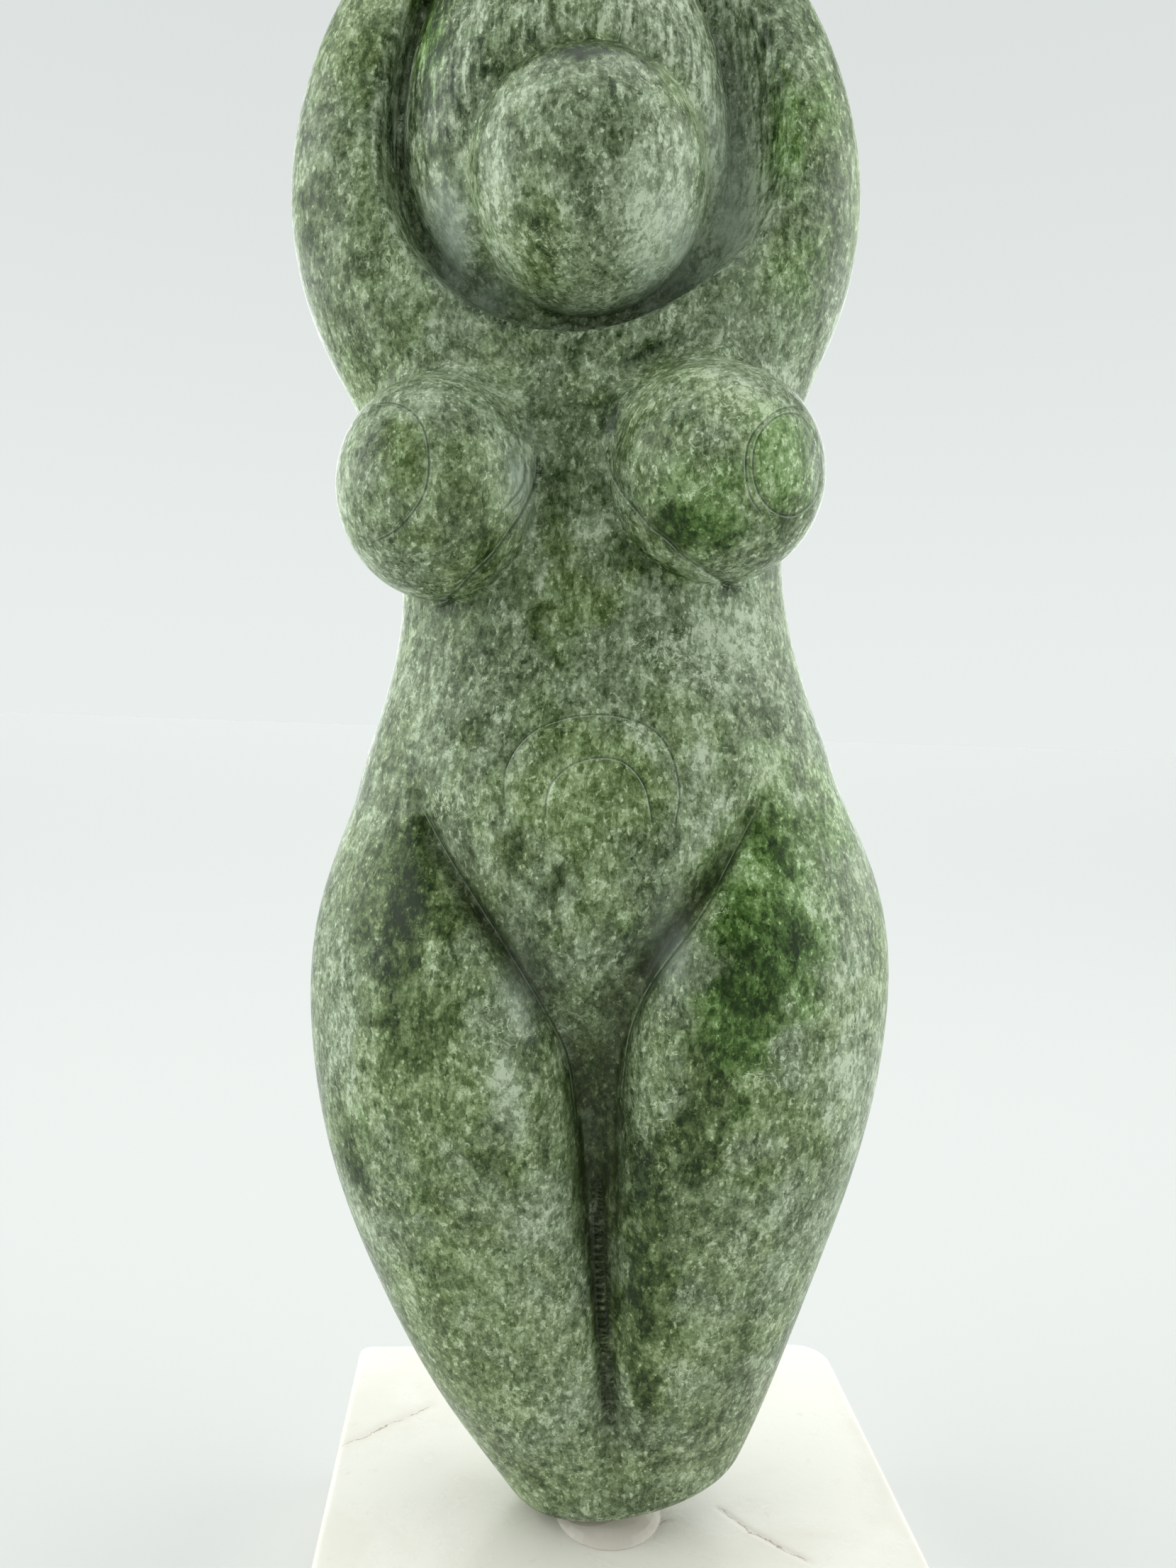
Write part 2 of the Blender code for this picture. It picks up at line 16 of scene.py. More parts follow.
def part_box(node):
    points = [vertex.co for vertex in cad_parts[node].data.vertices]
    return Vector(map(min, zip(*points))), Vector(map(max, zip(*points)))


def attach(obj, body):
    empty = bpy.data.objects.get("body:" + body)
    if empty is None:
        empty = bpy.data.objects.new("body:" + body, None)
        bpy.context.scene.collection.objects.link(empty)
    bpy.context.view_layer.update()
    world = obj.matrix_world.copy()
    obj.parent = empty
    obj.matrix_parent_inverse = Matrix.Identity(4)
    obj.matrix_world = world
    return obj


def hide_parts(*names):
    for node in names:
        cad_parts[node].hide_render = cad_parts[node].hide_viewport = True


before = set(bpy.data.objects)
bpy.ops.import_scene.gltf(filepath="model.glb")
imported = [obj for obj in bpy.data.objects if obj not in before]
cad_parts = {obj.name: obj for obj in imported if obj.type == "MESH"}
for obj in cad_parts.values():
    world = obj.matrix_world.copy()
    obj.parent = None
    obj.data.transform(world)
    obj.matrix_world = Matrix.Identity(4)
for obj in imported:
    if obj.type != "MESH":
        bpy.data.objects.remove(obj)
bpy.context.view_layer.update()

# The figure's place, in metres and degrees
FIGURE_HEIGHT = 0.272
FIGURE_LEAN_DEG = 4.5
FIGURE_TURN_DEG = -6.2
FIGURE_X = 0.0021
FIGURE_Y = 0.0016
FOOT_LIFT = 0.0014

# The camera: a 26 mm lens on a 36 mm frame, close in front and a little above the block
CAMERA_ABOVE_BLOCK = 0.13783
CAMERA_X = -0.0233
CAMERA_Y = -0.1842
CAMERA_YAW_DEG = 4.234
CAMERA_PITCH_DEG = 4.116
CAMERA_ROLL_DEG = 2.134
LENS_MM = 26.0
SENSOR_MM = 36.0

# The light tent
TENT_COLOUR = (0.95, 1.0, 0.98)
TENT_SHOWN_LOW = 0.865
TENT_SHOWN_HIGH = 0.75
TENT_SIDES = 2.60
TENT_FRONT = 0.10
TENT_TOP_SHARE = 0.8
TENT_RISE = (0.50, 0.97)
TENT_SHOWN_RISE = (-0.05, 0.6)
TOP_WATTS = 0.5
SIDE_WATTS = 0.9
LIGHT_AIM = (0.0, 0.0, 0.16)
LAMPS = (
    ("tent_top", (0.0, -0.10, 0.80), (0.9, 0.7), TOP_WATTS),
    ("tent_left", (-0.70, -0.10, 0.35), (0.6, 0.8), SIDE_WATTS),
    ("tent_right", (0.70, -0.10, 0.35), (0.6, 0.8), SIDE_WATTS),
)
FLOOR_HALF_SIZE = 6.0

BLOCK_LOW, BLOCK_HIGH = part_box("stone_base_block")
BLOCK_TOP = BLOCK_HIGH.z

# The block in metres, with its corners by (side across, side in depth), and its cracks' points in millimetres
CORNER_RADII = {(-1, -1): 0.0015, (1, -1): 0.0015, (-1, 1): 0.0020, (1, 1): 0.0065}
BLOCK_SIDES = 90
BLOCK_INSET = 0.00005
BEVEL = 0.0012
BEVEL_PARTS = 5
TOP_RINGS = 80
CRACKS = (
    ((-50.1, 16.9), (-46.0, 19.0), (-39.7, 24.2), (-36.4, 26.6), (-32.7, 30.0)),
    ((16.9, 0.2), (21.9, -6.0), (27.6, -11.2), (30.8, -13.7)),
    ((0.4, -5.3), (5.0, -4.6), (9.6, -3.0)),
)
CRACK_REACH = 0.006
CRACK_TAPER = 0.002
CRACK_HALF_WIDTH = 0.0004
CRACK_DEPTH = 0.00012
UNDERSIDE_SHARES = (0.98, 0.6)
SIDE_SHARES = (0.2, 0.4, 0.6, 0.8)
TOP_END_SHARE = 0.995

# Mesh fineness, in grid units
FINE_STEP = 1.25
FIGURE_TRIANGLES = 188000
LONGEST_EDGE = 5.0
SLIT_EDGE = 0.5
FACE_EDGE = 0.5
FACE_BAND = 0.8
SCRATCH_EDGE = 0.5
FINEST_EDGE = 0.3
SPLITTING_ROUNDS = 3
LINE_BAND = 0.6
LEAST_SHARE = 0.15
SETTLING_ROUNDS = 3
LONGEST_MOVE = 0.4
PROBE = 0.2
LEAST_STEEPNESS = 0.2
INSET = 0.06  # keeps the fine mesh within the solid's box

# Where painted shade darkens the stone's colour, painted highlights make it paler, and where it is streaked,
# in grid units
# HOLLOW_PROBES measure hollows for painted shade, RIDGE_PROBES measure ridges for painted highlights
HOLLOW_PROBES = (0.8, 2.0, 4.5, 9.0)
RIDGE_PROBES = (-1.5, -3.5)
FOLD_SHADE_WIDTH = 4.0
FOLD_SHADE_THIGH_WIDTH = 1.6
FULL_SHADE_DEPTH = 2.5
SLIT_SHADE_WIDTH = 1.8
SLOPE_REACH = 0.2
FRONT_FADE = (2.0, -6.0)
GROOVE_LIGHT_SHARE = 0.85
GROOVE_LIGHT_HEIGHTS = (185.0, 195.0)
GROOVE_LIGHT_DEPTHS = (-23.0, -19.0)
STREAK_EDGE = (2.0, 1.0)
STREAKS_FROM_FACE = (0.5, 1.5)

# The grid's height, and its room round the figure
GRID_HEIGHT = 272.0
GRID_ROOM = 5.0

# Body, as (height, size) stations that a smooth curve joins
MIDDLE = ((0, -1.9), (20, -3.1), (65, -3.0), (95, -1.5), (130, -0.8), (156, 0.0), (190, -0.4))
HALF_WIDTH = (
    (-4, 15.5), (4, 19.0), (10, 22.6), (20, 27.8), (40, 36.4), (60, 43.4), (78, 47.1), (92, 47.9),
    (105, 46.2), (120, 40.6), (135, 34.8), (148, 31.2), (156, 30.3), (170, 31.5), (187, 34.0), (200, 34.0),
)
FRONT_DEPTH = (
    (0, 11.0), (20, 16.0), (45, 21.5), (70, 25.5), (90, 26.5), (112, 25.0), (130, 22.0), (150, 18.5),
    (170, 17.5), (184, 15.0), (197, 9.0),
)
BACK_DEPTH = (
    (0, 10.0), (20, 15.0), (45, 19.0), (70, 21.0), (92, 21.5), (112, 20.0), (130, 17.5), (150, 16.5),
    (170, 16.5), (184, 13.0), (197, 8.0),
)
LEG_PARTING = ((0, 0.1), (20, 0.28), (50, 0.52), (75, 0.62), (92, 0.45), (112, 0.15), (130, 0.0))
LEG_BLEND = 3.0
TRUNK_TOP = 198.0
TRUNK_TOP_ROUNDING = 3.0
BUTTOCK = ((19.5, 9.0, 92.0), (20.5, 19.0, 24.0))
BUTTOCK_BLEND = 6.0
SIDE_DEPTH = 3.0
FACE_ON_DEPTH = 9.0

# The V of folds under the belly, and the cleft below it
CLEFT_LEFT = ((20, -2.3), (40, -2.7), (60, -3.9), (78, -4.7))
CLEFT_RIGHT = ((20, -1.4), (40, -0.9), (60, 0.1), (78, 1.0))
V_LEFT = ((84, -5.6), (90, -7.6), (96, -11.0), (103, -15.5), (110, -20.0), (117, -24.2), (127, -28.0))
V_RIGHT = ((84, 1.8), (91, 3.8), (98, 7.3), (105, 12.5), (112, 18.0), (120, 22.6), (127, 26.0))
FOLD_SLANT = ((78, 1.0), (88, 0.8), (96, 0.72), (110, 0.77), (120, 0.9))
FOLD_DEPTH = ((4, 0.0), (20, 1.0), (40, 1.8), (60, 2.8), (80, 3.6), (100, 3.8), (115, 2.4), (127, 0.0))
FOLD_SOFTNESS = 0.6
V_TIP_ROUNDING = 2.0
BELLY_HEIGHT = ((60, -2.2), (80, -2.6), (88, -1.0), (96, 0.8), (106, 1.8), (118, 1.6), (135, 1.0), (150, 0.0))
BELLY_SPREAD = 5.0
THIGH_RIDGE = ((10, 0.0), (40, 0.3), (70, 1.0), (90, 1.8), (105, 1.2), (120, 0.2), (130, 0.0))
THIGH_RIDGE_FROM_FOLD = ((45, 4.0), (62, 6.0), (76, 7.0), (88, 5.3), (96, 3.2), (106, 1.0))
THIGH_RIDGE_ROUNDING = 0.3
THIGH_RIDGE_FALL = 10.0
THIGH_SPREAD = 1.8

# Collar, back and foot
COLLAR_RIGHT = ((3.0, 184.8), (6.0, 186.4), (12.5, 189.7), (19.4, 192.9), (24.0, 195.6))
COLLAR_LEFT = ((-21.0, 197.0), (-15.0, 193.6), (-8.5, 189.6), (-4.6, 187.0), (-2.0, 185.6))
COLLAR_DEPTHS = (2.4, 1.9)
COLLAR_STEEP_WIDTH = 1.3
COLLAR_WIDTH = 3.4
COLLAR_TAPER = 6.0
COLLAR_REACH = 12.0
CLEFT_DEPTH = ((10, 0.0), (30, 1.6), (70, 2.0), (95, 3.4), (112, 0.6))
SPINE_DEPTH = ((125, 1.2), (175, 1.2), (190, 0.0))
BACK_GROOVE_WIDTH = 3.0
FOOT_CUT_HEIGHT = 0.9
FOOT_CUT_AT = -12.0
FOOT_CUT_SLOPE = 0.13
FOOT_ROUNDING = 4.0

# Head, breasts and arch of the arms
HAIR = ((0.0, -2.5, 222.0), (25.0, 21.5, 25.6), 37.0)
HAIR_LEFT_RADIUS = 27.0
FACE = ((2.0, -12.0, 214.4), (18.2, 17.6, 18.6), 18.6)
FACE_FACET = ((-0.966, -0.26), 17.0)
FACE_FACET_ROUNDING = 0.6
HOLLOW_CENTRE = (0.3, 219.0)
HOLLOW_RADII = (26.4, 24.3, 41.0)
HOLLOW_RIGHT_RADIUS = 24.9
HOLLOW_FLOOR = -5.0
HOLLOW_FLARE = 0.25
HOLLOW_RIGHT_FLARE = ((194, 0.25), (204, 0.55), (216, 0.75), (250, 0.75))
HOLLOW_ROUNDING = 4.0
HOLLOW_EDGE_ROUNDING = 1.5
HAIR_BLEND = 0.6
FACE_BLEND = 0.5
BREASTS = (
    ((-21.9, -16.5, 169.4), (15.0, 15.0, 16.4)),
    ((19.6, -16.5, 169.6), (16.0, 15.0, 16.0)),
)
BREAST_BLEND = ((160, 1.2), (172, 2.0), (182, 6.0))
ARCH_CENTRE = (-0.3, 216.0)
ARCH_HALF_WIDTH = 45.3
ARCH_DOWN = 50.0
ARCH_UP = 55.5
ARCH_POINTEDNESS = 1.85
ARCH_REACH = ((166, 46.0), (216, 45.3), (272, 52.0))
ARM_BLEND = 5.0
ARM_ROUNDING = 15.0
ARM_HALF_DEPTH = ((160, 9.0), (175, 12.5), (190, 15.5), (205, 15.5), (230, 13.5), (272, 9.0))

# The navel's two rings, as centre and radii, and how far down they reach
TERRACES = (((-0.4, 122.5), (12.6, 13.2)), ((0.5, 121.0), (7.9, 8.4)))
TERRACE_DEPTH = 0.32
TERRACE_WIDTH = 1.5
TERRACE_FOOT = 0.9
TERRACE_STEEP = 0.5
TERRACE_FADE = (114.0, 122.0)

# The slit at the bottom of the cleft: path, half width and depth
SLIT = ((-2.2, 72.0), (-2.3, 66.0), (-2.6, 48.0), (-2.3, 32.0), (-2.0, 17.0))
SLIT_HALF_WIDTH = 1.2
SLIT_REACH = 4.0
SLIT_DEPTH = ((14, 0.0), (26, 0.9), (45, 1.4), (58, 1.0), (70, 0.0))

# The hood is sunk a little all round the face
FACE_TRENCH_DEPTH = 1.3
FACE_TRENCH_WIDTH = 2.2

# Broad patches of the front, as centre across and up, radii across and up, and strength. Olive and vivid
# patches are the stone's own colour; deep and pale patches are partly its dark and pale stone and partly
# painted shade and painted reflections; sheen patches are painted reflections of the tent on the polish.
PATCHES = {
    # dark stone, and painted shade at the top of the face, under the chin and beside the folds
    "deep_patch": (
        (-29, 112, 5, 10, 1), (-31, 103, 6, 10, 1), (-23, 106, 5, 5, 0.8), (-31, 95, 4, 8, 0.7),
        (-33, 99, 4, 6, 0.8), (-25, 90, 6, 6, 0.6), (5, 66, 4, 10, 1), (26, 117, 6, 6, 0.8),
        (-3, 209, 5, 7, 0.6), (3, 203, 4, 5, 0.4), (1, 227, 11, 3.5, 1), (-41, 68, 3, 8, 0.7),
        (-3, 111, 6, 5, 0.5), (22, 108, 6, 8, 0.5), (21, 96, 6, 8, 1), (15, 82, 5, 10, 0.9),
        (12, 72, 4, 8, 0.8), (-6.5, 216, 3, 6, 0.4), (-20, 217, 3, 6, 0.9), (-22, 226, 2.5, 8, 0.8),
        (-14, 159, 3, 4, 0.7), (-12, 115, 4, 4, 1), (-19, 144, 3, 4, 0.6), (-40, 212, 4, 8, 0.8),
        (-40, 66, 3, 5, 1), (-11, 86, 3, 4, 0.8), (-19, 133, 4, 4, 0.7), (17, 164, 3, 3, 0.6),
        (23, 84, 3, 4, 0.5), (10, 100, 3, 4, 0.8), (-19, 212, 2, 4, 0.5), (-8, 150, 3, 4, 0.7),
        (13, 60, 3, 4, 0.6), (-10, 79, 2, 3, 0.6), (3, 48, 3, 12, 0.8), (4, 31, 3, 8, 0.7),
        (-13, 115, 4, 5, 0.6), (13, 160, 6, 4, 0.9), (-19, 241, 4, 10, 0.9), (-12, 98, 3, 6, 0.4),
        (7, 97, 3, 6, 0.6), (9, 188, 8, 4, 0.25), (-8, 191, 6, 4, 0.5), (2, 178, 7, 7, 0.6),
        (-2, 168, 6, 8, 0.6), (-3.7, 202, 3, 5, 0.6), (-3, 80, 4, 8, 0.8), (-2, 62, 3, 12, 0.6),
        (27, 113, 6, 9, 0.5), (27, 100, 6, 8, 0.6), (-29, 104, 6, 16, 0.5), (-30, 94, 5, 8, 0.5),
    ),
    "olive_patch": (
        (-28, 109, 7, 14, 1), (-27, 88, 8, 13, 0.9), (0, 124, 14, 11, 0.9), (-25, 172, 4, 5, 0.9),
        (-26, 161, 8, 4, 0.7), (-32, 235, 5, 10, 0.7), (16, 84, 9, 14, 1), (-26, 63, 9, 10, 0.6),
        (4, 42, 6, 18, 0.8), (-24, 66, 12, 20, 0.7), (26, 66, 10, 20, 0.5), (-22, 40, 10, 12, 0.5),
        (-19, 241, 5, 11, 1), (-2, 152, 10, 8, 0.7),
    ),
    # pale mint stone, and painted reflections on the lower hood and the walls of the groove round it
    "pale_patch": (
        (-18, 206, 4, 8, 1), (-21, 212, 3, 9, 0.8), (-10.5, 208, 4.5, 9, 0.7), (12, 205, 7, 7, 0.7),
        (11, 179, 6, 5, 0.6), (18, 205, 5, 7, 1), (22, 214, 4, 14, 1), (27, 215, 3, 16, 1),
        (11, 199, 5, 4, 0.8), (-12, 97, 3, 7, 1), (-14, 80, 3, 9, 0.8), (10.6, 101, 3, 6, 0.7),
        (38, 79, 7, 20, 0.9), (-40, 90, 5, 20, 0.6), (20, 146, 10, 10, 0.8), (-18, 44, 9, 13, 0.3),
        (-19, 193, 6, 4, 0.8), (24, 237, 3, 8, 0.8), (18, 172, 6, 4, 0.6), (32, 190, 6, 9, 0.6),
        (18, 118, 5, 7, 1), (-9, 170, 3, 6, 0.8), (-30, 160, 5, 4, 0.7), (19, 29, 6, 8, 0.7),
        (-14, 201, 4, 4, 0.8), (10, 150, 3, 5, 1), (-23, 117, 4, 4, 0.8), (-3, 57, 2, 5, 0.8),
        (-3, 73, 2, 4, 0.7), (9, 190, 3, 4, 0.8), (-14, 226, 3, 4, 0.9), (-21, 111, 3, 5, 0.6),
        (15, 126, 3, 5, 1), (26, 61, 4, 6, 0.7), (-6, 86, 1.5, 4, 0.8), (11, 147, 3, 5, 0.8),
    ),
    # painted reflections of the bright tent on the polish
    "painted_sheen_patch": (
        (-19, 207, 3, 7, 1), (-15, 200, 4, 3, 0.8), (-12, 96, 2, 7, 0.35), (-9, 168, 1.5, 5, 0.8),
        (10, 101, 3, 5, 0.6), (24, 212, 3, 14, 0.8), (16, 203, 4, 4, 0.7), (11, 198, 3, 3, 0.5),
    ),
    "vivid_patch": (
        (28.2, 169.6, 6, 8, 1), (25, 108, 10, 16, 1), (17, 163, 8, 7, 0.8), (32, 219, 3, 10, 1),
        (19, 90, 8, 11, 0.8), (37, 118, 7, 12, 0.6), (33, 198, 6, 9, 0.6), (38, 225, 5, 14, 0.5),
        (-20, 234, 3, 9, 0.8), (27, 101, 7, 14, 1),
    ),
}

# The stone's colours from its darkest to its palest parts, as (tone, colour)
TONE_MIDDLE = 0.568
GREY_TONES = (
    (0.0, (0.014, 0.026, 0.008)), (0.25, (0.057, 0.083, 0.040)), (0.5, (0.148, 0.194, 0.110)),
    (0.75, (0.302, 0.376, 0.242)), (1.0, (0.550, 0.635, 0.475)),
)
OLIVE_TONES = (
    (0.0, (0.012, 0.026, 0.005)), (0.25, (0.050, 0.083, 0.021)), (0.5, (0.130, 0.186, 0.072)),
    (0.75, (0.272, 0.362, 0.172)), (1.0, (0.525, 0.622, 0.405)),
)
VIVID_TONES = (
    (0.0, (0.012, 0.030, 0.004)), (0.25, (0.040, 0.090, 0.015)), (0.5, (0.112, 0.206, 0.048)),
    (0.75, (0.248, 0.390, 0.145)), (1.0, (0.560, 0.700, 0.430)),
)

# painted sheen, a pale reflection of the tent
PAINTED_SHEEN_COLOUR = (0.46, 0.54, 0.46)
# painted shade colour for the folds and the slit
FOLD_SHADE_COLOUR = (0.056, 0.058, 0.032)
# painted highlight on the lips of the cut lines, and painted shade in their cores
LIP_HIGHLIGHT_COLOUR = (0.52, 0.60, 0.47)
LINE_SHADE_COLOUR = (0.035, 0.060, 0.025)
GRAIN_SLANT = 0.45

CREAM_COLOURS = ((0.865, 0.832, 0.772), (0.815, 0.775, 0.71))
SPECK_COLOUR = (0.70, 0.62, 0.52)
STAIN_COLOUR = (0.62, 0.54, 0.44)
CRACK_COLOUR = (0.30, 0.23, 0.17)
GEL_COLOUR = (0.90, 0.84, 0.76)
FLOOR_COLOUR = (0.68, 0.68, 0.675)

# Lines cut with a fine tool, as half width and depth in millimetres, and front-view points (across, up)
LINES = (
    # The rings on the breasts
    (0.40, 0.30, (
        (-31.8, 180.4), (-28.8, 180.2), (-24.4, 178.9), (-22.2, 176.9), (-21, 174.4), (-20.6, 170.5),
        (-21.4, 166.6), (-24.1, 163.2), (-28, 161.2), (-31, 160.6),
    )),
    (0.32, 0.28, (
        (31.6, 177.2), (28.7, 176.4), (25.9, 174.6), (23.6, 172.2), (22.5, 169.2), (22.5, 166.4),
        (23.4, 163.4), (25.4, 161),
    )),
    (0.34, 0.22, (
        (32.4, 171.6), (31.4, 175.2), (28.6, 175.4), (25.9, 173.8), (24, 171.1), (23.4, 168), (24, 164.8),
        (26.2, 162.3), (29.2, 161.8), (32.2, 163.7), (33.6, 166.6), (33.4, 169.7),
    )),
    # The rings round the navel
    (0.28, 0.22, (
        (-13, 120), (-13.3, 125.7), (-12.3, 129.2), (-10, 132.1), (-4.7, 134.6), (1, 135.1), (6.6, 133.8),
        (9.3, 132), (11.1, 129.2), (12, 125.6), (12.1, 122.2), (10.8, 117),
    )),
    (0.30, 0.26, (
        (-7.2, 119.6), (-6.9, 123.9), (-5.1, 126.7), (-2.3, 128.4), (0.8, 128.9), (4.3, 128.1), (6.1, 126.4),
        (7.6, 123.1), (8.1, 118.4),
    )),
    # The creases beside and under the breasts
    (0.34, 0.34, (
        (-6.7, 176), (-6.8, 172.1), (-7.2, 169.5), (-8.6, 165.4), (-11.4, 161), (-13.8, 158.2),
        (-17.1, 155.6), (-20.2, 153.6), (-24.6, 152.6),
    )),
    (0.26, 0.16, (
        (-8.6, 174), (-8.2, 171.2), (-9.4, 166.9), (-10.8, 165.1), (-12.6, 162.7),
    )),
    (0.34, 0.32, (
        (3.4, 172.4), (5.3, 167.3), (7.8, 163.5), (9.4, 161.4), (11.3, 159.8), (14, 157.2), (17.1, 155.2),
        (20.4, 153.9), (24.6, 153.5),
    )),
    # The lines along the V of folds
    (0.30, 0.26, (
        (-27, 123.3), (-22.9, 115.6), (-19.2, 109.6), (-14.2, 101.4), (-9.4, 92.7), (-6.8, 86.8),
        (-5.4, 80.2), (-5, 72),
    )),
    (0.26, 0.20, (
        (24.7, 121.1), (20.4, 114.1), (15.8, 106.7), (10.6, 100), (7, 95), (4.4, 89.6), (3, 84), (2.2, 78),
    )),
)
LINE_SIZES = (2.0, 3.0, 1.0)  # reach, taper at the ends, and soft edge
TABLE_LOW = (-50.0, 5.0)
TABLE_HIGH = (50.0, 215.0)
TABLE_STEP = 0.1

# Scratches left by the tool along the wall of the hollow round the head, as depths of their paths
SCRATCH_LEVELS = (-6.8, -8.2, -10.4)
SCRATCH_HALF_WIDTH = 0.3
SCRATCH_END = 10.0
SCRATCH_FADE = 10.0
SCRATCH_DEPTH = 0.15
WALL_REACH = 0.8

# Small pits, as place in the front view, radius and depth
PITS = (((-0.4, 208.9), 0.5, 0.6), ((17.0, 61.5), 0.6, 0.7), ((14.9, 77.6), 0.4, 0.4))


def curve_at(height, *stations):
    """A smooth curve through (height, value) stations, level at both ends and beyond them."""
    at, value = np.array(stations, float).T
    step = np.diff(at)
    slope = np.diff(value) / step
    count = len(at)
    matrix = np.zeros((count, count))
    wanted = np.zeros(count)
    for i in range(count - 1):
        matrix[i, i] += 2 * step[i]
        matrix[i + 1, i + 1] += 2 * step[i]
        matrix[i, i + 1] = step[i]
        matrix[i + 1, i] = step[i]
        wanted[i] += 6 * slope[i]
        wanted[i + 1] -= 6 * slope[i]
    bend = np.linalg.solve(matrix, wanted)
    height = np.clip(height, at[0], at[-1])
    span = np.clip(np.searchsorted(at, height, side="right") - 1, 0, count - 2)
    width = step[span]
    after = (height - at[span]) / width
    before = 1 - after
    straight = before * value[span] + after * value[span + 1]
    curl = (before**3 - before) * bend[span] + (after**3 - after) * bend[span + 1]
    return straight + curl * width**2 / 6


def joined(first, second, blend):
    """Two forms as one, with a fillet about as wide as the blend. A form is negative inside."""
    near = np.maximum(blend - np.abs(first - second), 0.0) / blend
    return np.minimum(first, second) - near * near * blend * 0.25


def within(first, second, blend):
    """What two forms share, with a rounded edge."""
    return -joined(-first, -second, blend)


def rounded(scaled, radii):
    """About the distance to an ellipse or ellipsoid, from coordinates divided by its radii."""
    reach = np.sqrt(sum(part * part for part in scaled))
    steep = np.sqrt(sum((part / radius) ** 2 for part, radius in zip(scaled, radii)))
    return reach * (reach - 1) / np.maximum(steep, 1e-6)


def ellipsoid(x, y, z, centre, radii, radius_up=None, radius_left=None):
    """About the distance to an ellipsoid. Its upper and left halves can have radii of their own."""
    wide, deep, down = radii
    tall = down if radius_up is None else np.where(z > centre[2], radius_up, down)
    wide = wide if radius_left is None else np.where(x < centre[0], radius_left, wide)
    scaled = ((x - centre[0]) / wide, (y - centre[1]) / deep, (z - centre[2]) / tall)
    return rounded(scaled, (wide, deep, tall))


def hump(distance, width):
    """1 at no distance, falling to nearly 0 at twice the width."""
    return np.exp(-((distance / width) ** 2))


def unit(value, low, high):
    """0 to 1 as the value goes from low to high."""
    return np.clip((value - low) / (high - low), 0, 1)


def facing(depth):
    """0 on the sides and 1 where the surface is well to the front, from the depth towards it."""
    return unit(depth, SIDE_DEPTH, FACE_ON_DEPTH)


def path_field(x, z, points, reach):
    """How far to the side of a path a point of a flat view is, up to the reach, and how far from its ends."""
    x, z = np.broadcast_arrays(x, z)
    low = np.min(points, axis=0) - reach
    high = np.max(points, axis=0) + reach
    close = (x > low[0]) & (x < high[0]) & (z > low[1]) & (z < high[1])
    near_x, near_z = x[close], z[close]
    least = np.full(near_x.shape, float(reach))
    nearest_run = np.zeros(near_x.shape)
    walked = 0.0
    for (ax, az), (bx, bz) in zip(points[:-1], points[1:]):
        length = math.hypot(bx - ax, bz - az)
        ahead_x = (bx - ax) / length
        ahead_z = (bz - az) / length
        along = np.clip((near_x - ax) * ahead_x + (near_z - az) * ahead_z, 0, length)
        off_x = near_x - ax - along * ahead_x
        off_z = near_z - az - along * ahead_z
        away = np.hypot(off_x, off_z)
        nearer = away < np.abs(least)
        least = np.where(nearer, away * np.sign(ahead_x * off_z - ahead_z * off_x), least)
        nearest_run = np.where(nearer, walked + along, nearest_run)
        walked += length
    offset = np.full(x.shape, float(reach))
    offset[close] = least
    from_end = np.zeros(x.shape)
    from_end[close] = np.minimum(nearest_run, walked - nearest_run)
    return offset, from_end


def faded_path(x, z, points, reach, taper, edge):
    """The signed distance to a path, and its strength, which fades at its ends and at its reach."""
    offset, from_end = path_field(x, z, points, reach)
    return offset, unit(from_end, 0, taper) * unit(np.abs(offset), reach, reach - edge)


def nearest_path(x, z, paths, reach, taper, edge):
    """The signed distance to the nearest of the paths, and its strength there."""
    nearest = np.full(np.shape(x), reach)
    its_strength = np.zeros(np.shape(x))
    for points in paths:
        offset, strength = faded_path(x, z, points, reach, taper, edge)
        nearer = np.abs(offset) < np.abs(nearest)
        nearest = np.where(nearer, offset, nearest)
        its_strength = np.where(nearer, strength, its_strength)
    return nearest, its_strength


def from_slit(x, z):
    """Distance, in the front view, to the slit, and never more than its reach."""
    return np.abs(path_field(x, z, SLIT, SLIT_REACH)[0])


def smooth_path(points, parts=6):
    """The points with more between them, on a curve that passes through them all."""
    points = np.array(points, float)
    run = np.concatenate([[0], np.cumsum(np.hypot(*np.diff(points, axis=0).T))])
    where = np.concatenate(
        [np.linspace(start, end, parts, endpoint=False) for start, end in zip(run[:-1], run[1:])] + [run[-1:]]
    )
    return np.stack([curve_at(where, *zip(run, points[:, axis])) for axis in (0, 1)], 1)


def legs_and_trunk(x, y, z):
    """Two upright forms side by side, which part at the thighs and are one from the hips up."""
    half = curve_at(z, *HALF_WIDTH)
    deep = np.where(y < 0, curve_at(z, *FRONT_DEPTH), curve_at(z, *BACK_DEPTH))
    parting = curve_at(z, *LEG_PARTING)
    offset = half * parting / (1 + parting)
    wide = half / (1 + parting)
    sides = [rounded(((x + offset * side) / wide, y / deep), (wide, deep)) for side in (-1, 1)]
    trunk = joined(sides[0], sides[1], LEG_BLEND)
    trunk = within(trunk, z - TRUNK_TOP, TRUNK_TOP_ROUNDING)
    (across, behind, up), radii = BUTTOCK
    for side in (-1, 1):
        trunk = joined(trunk, ellipsoid(x, y, z, (side * across, behind, up), radii), BUTTOCK_BLEND)
    return trunk


def inside_folds(x, z):
    """How far inside the V of folds under the belly, or the cleft below it, a point of the front view is."""
    left = x - curve_at(z, *CLEFT_LEFT, *V_LEFT)
    right = curve_at(z, *CLEFT_RIGHT, *V_RIGHT) - x
    return joined(left, right, V_TIP_ROUNDING) * curve_at(z, *FOLD_SLANT)


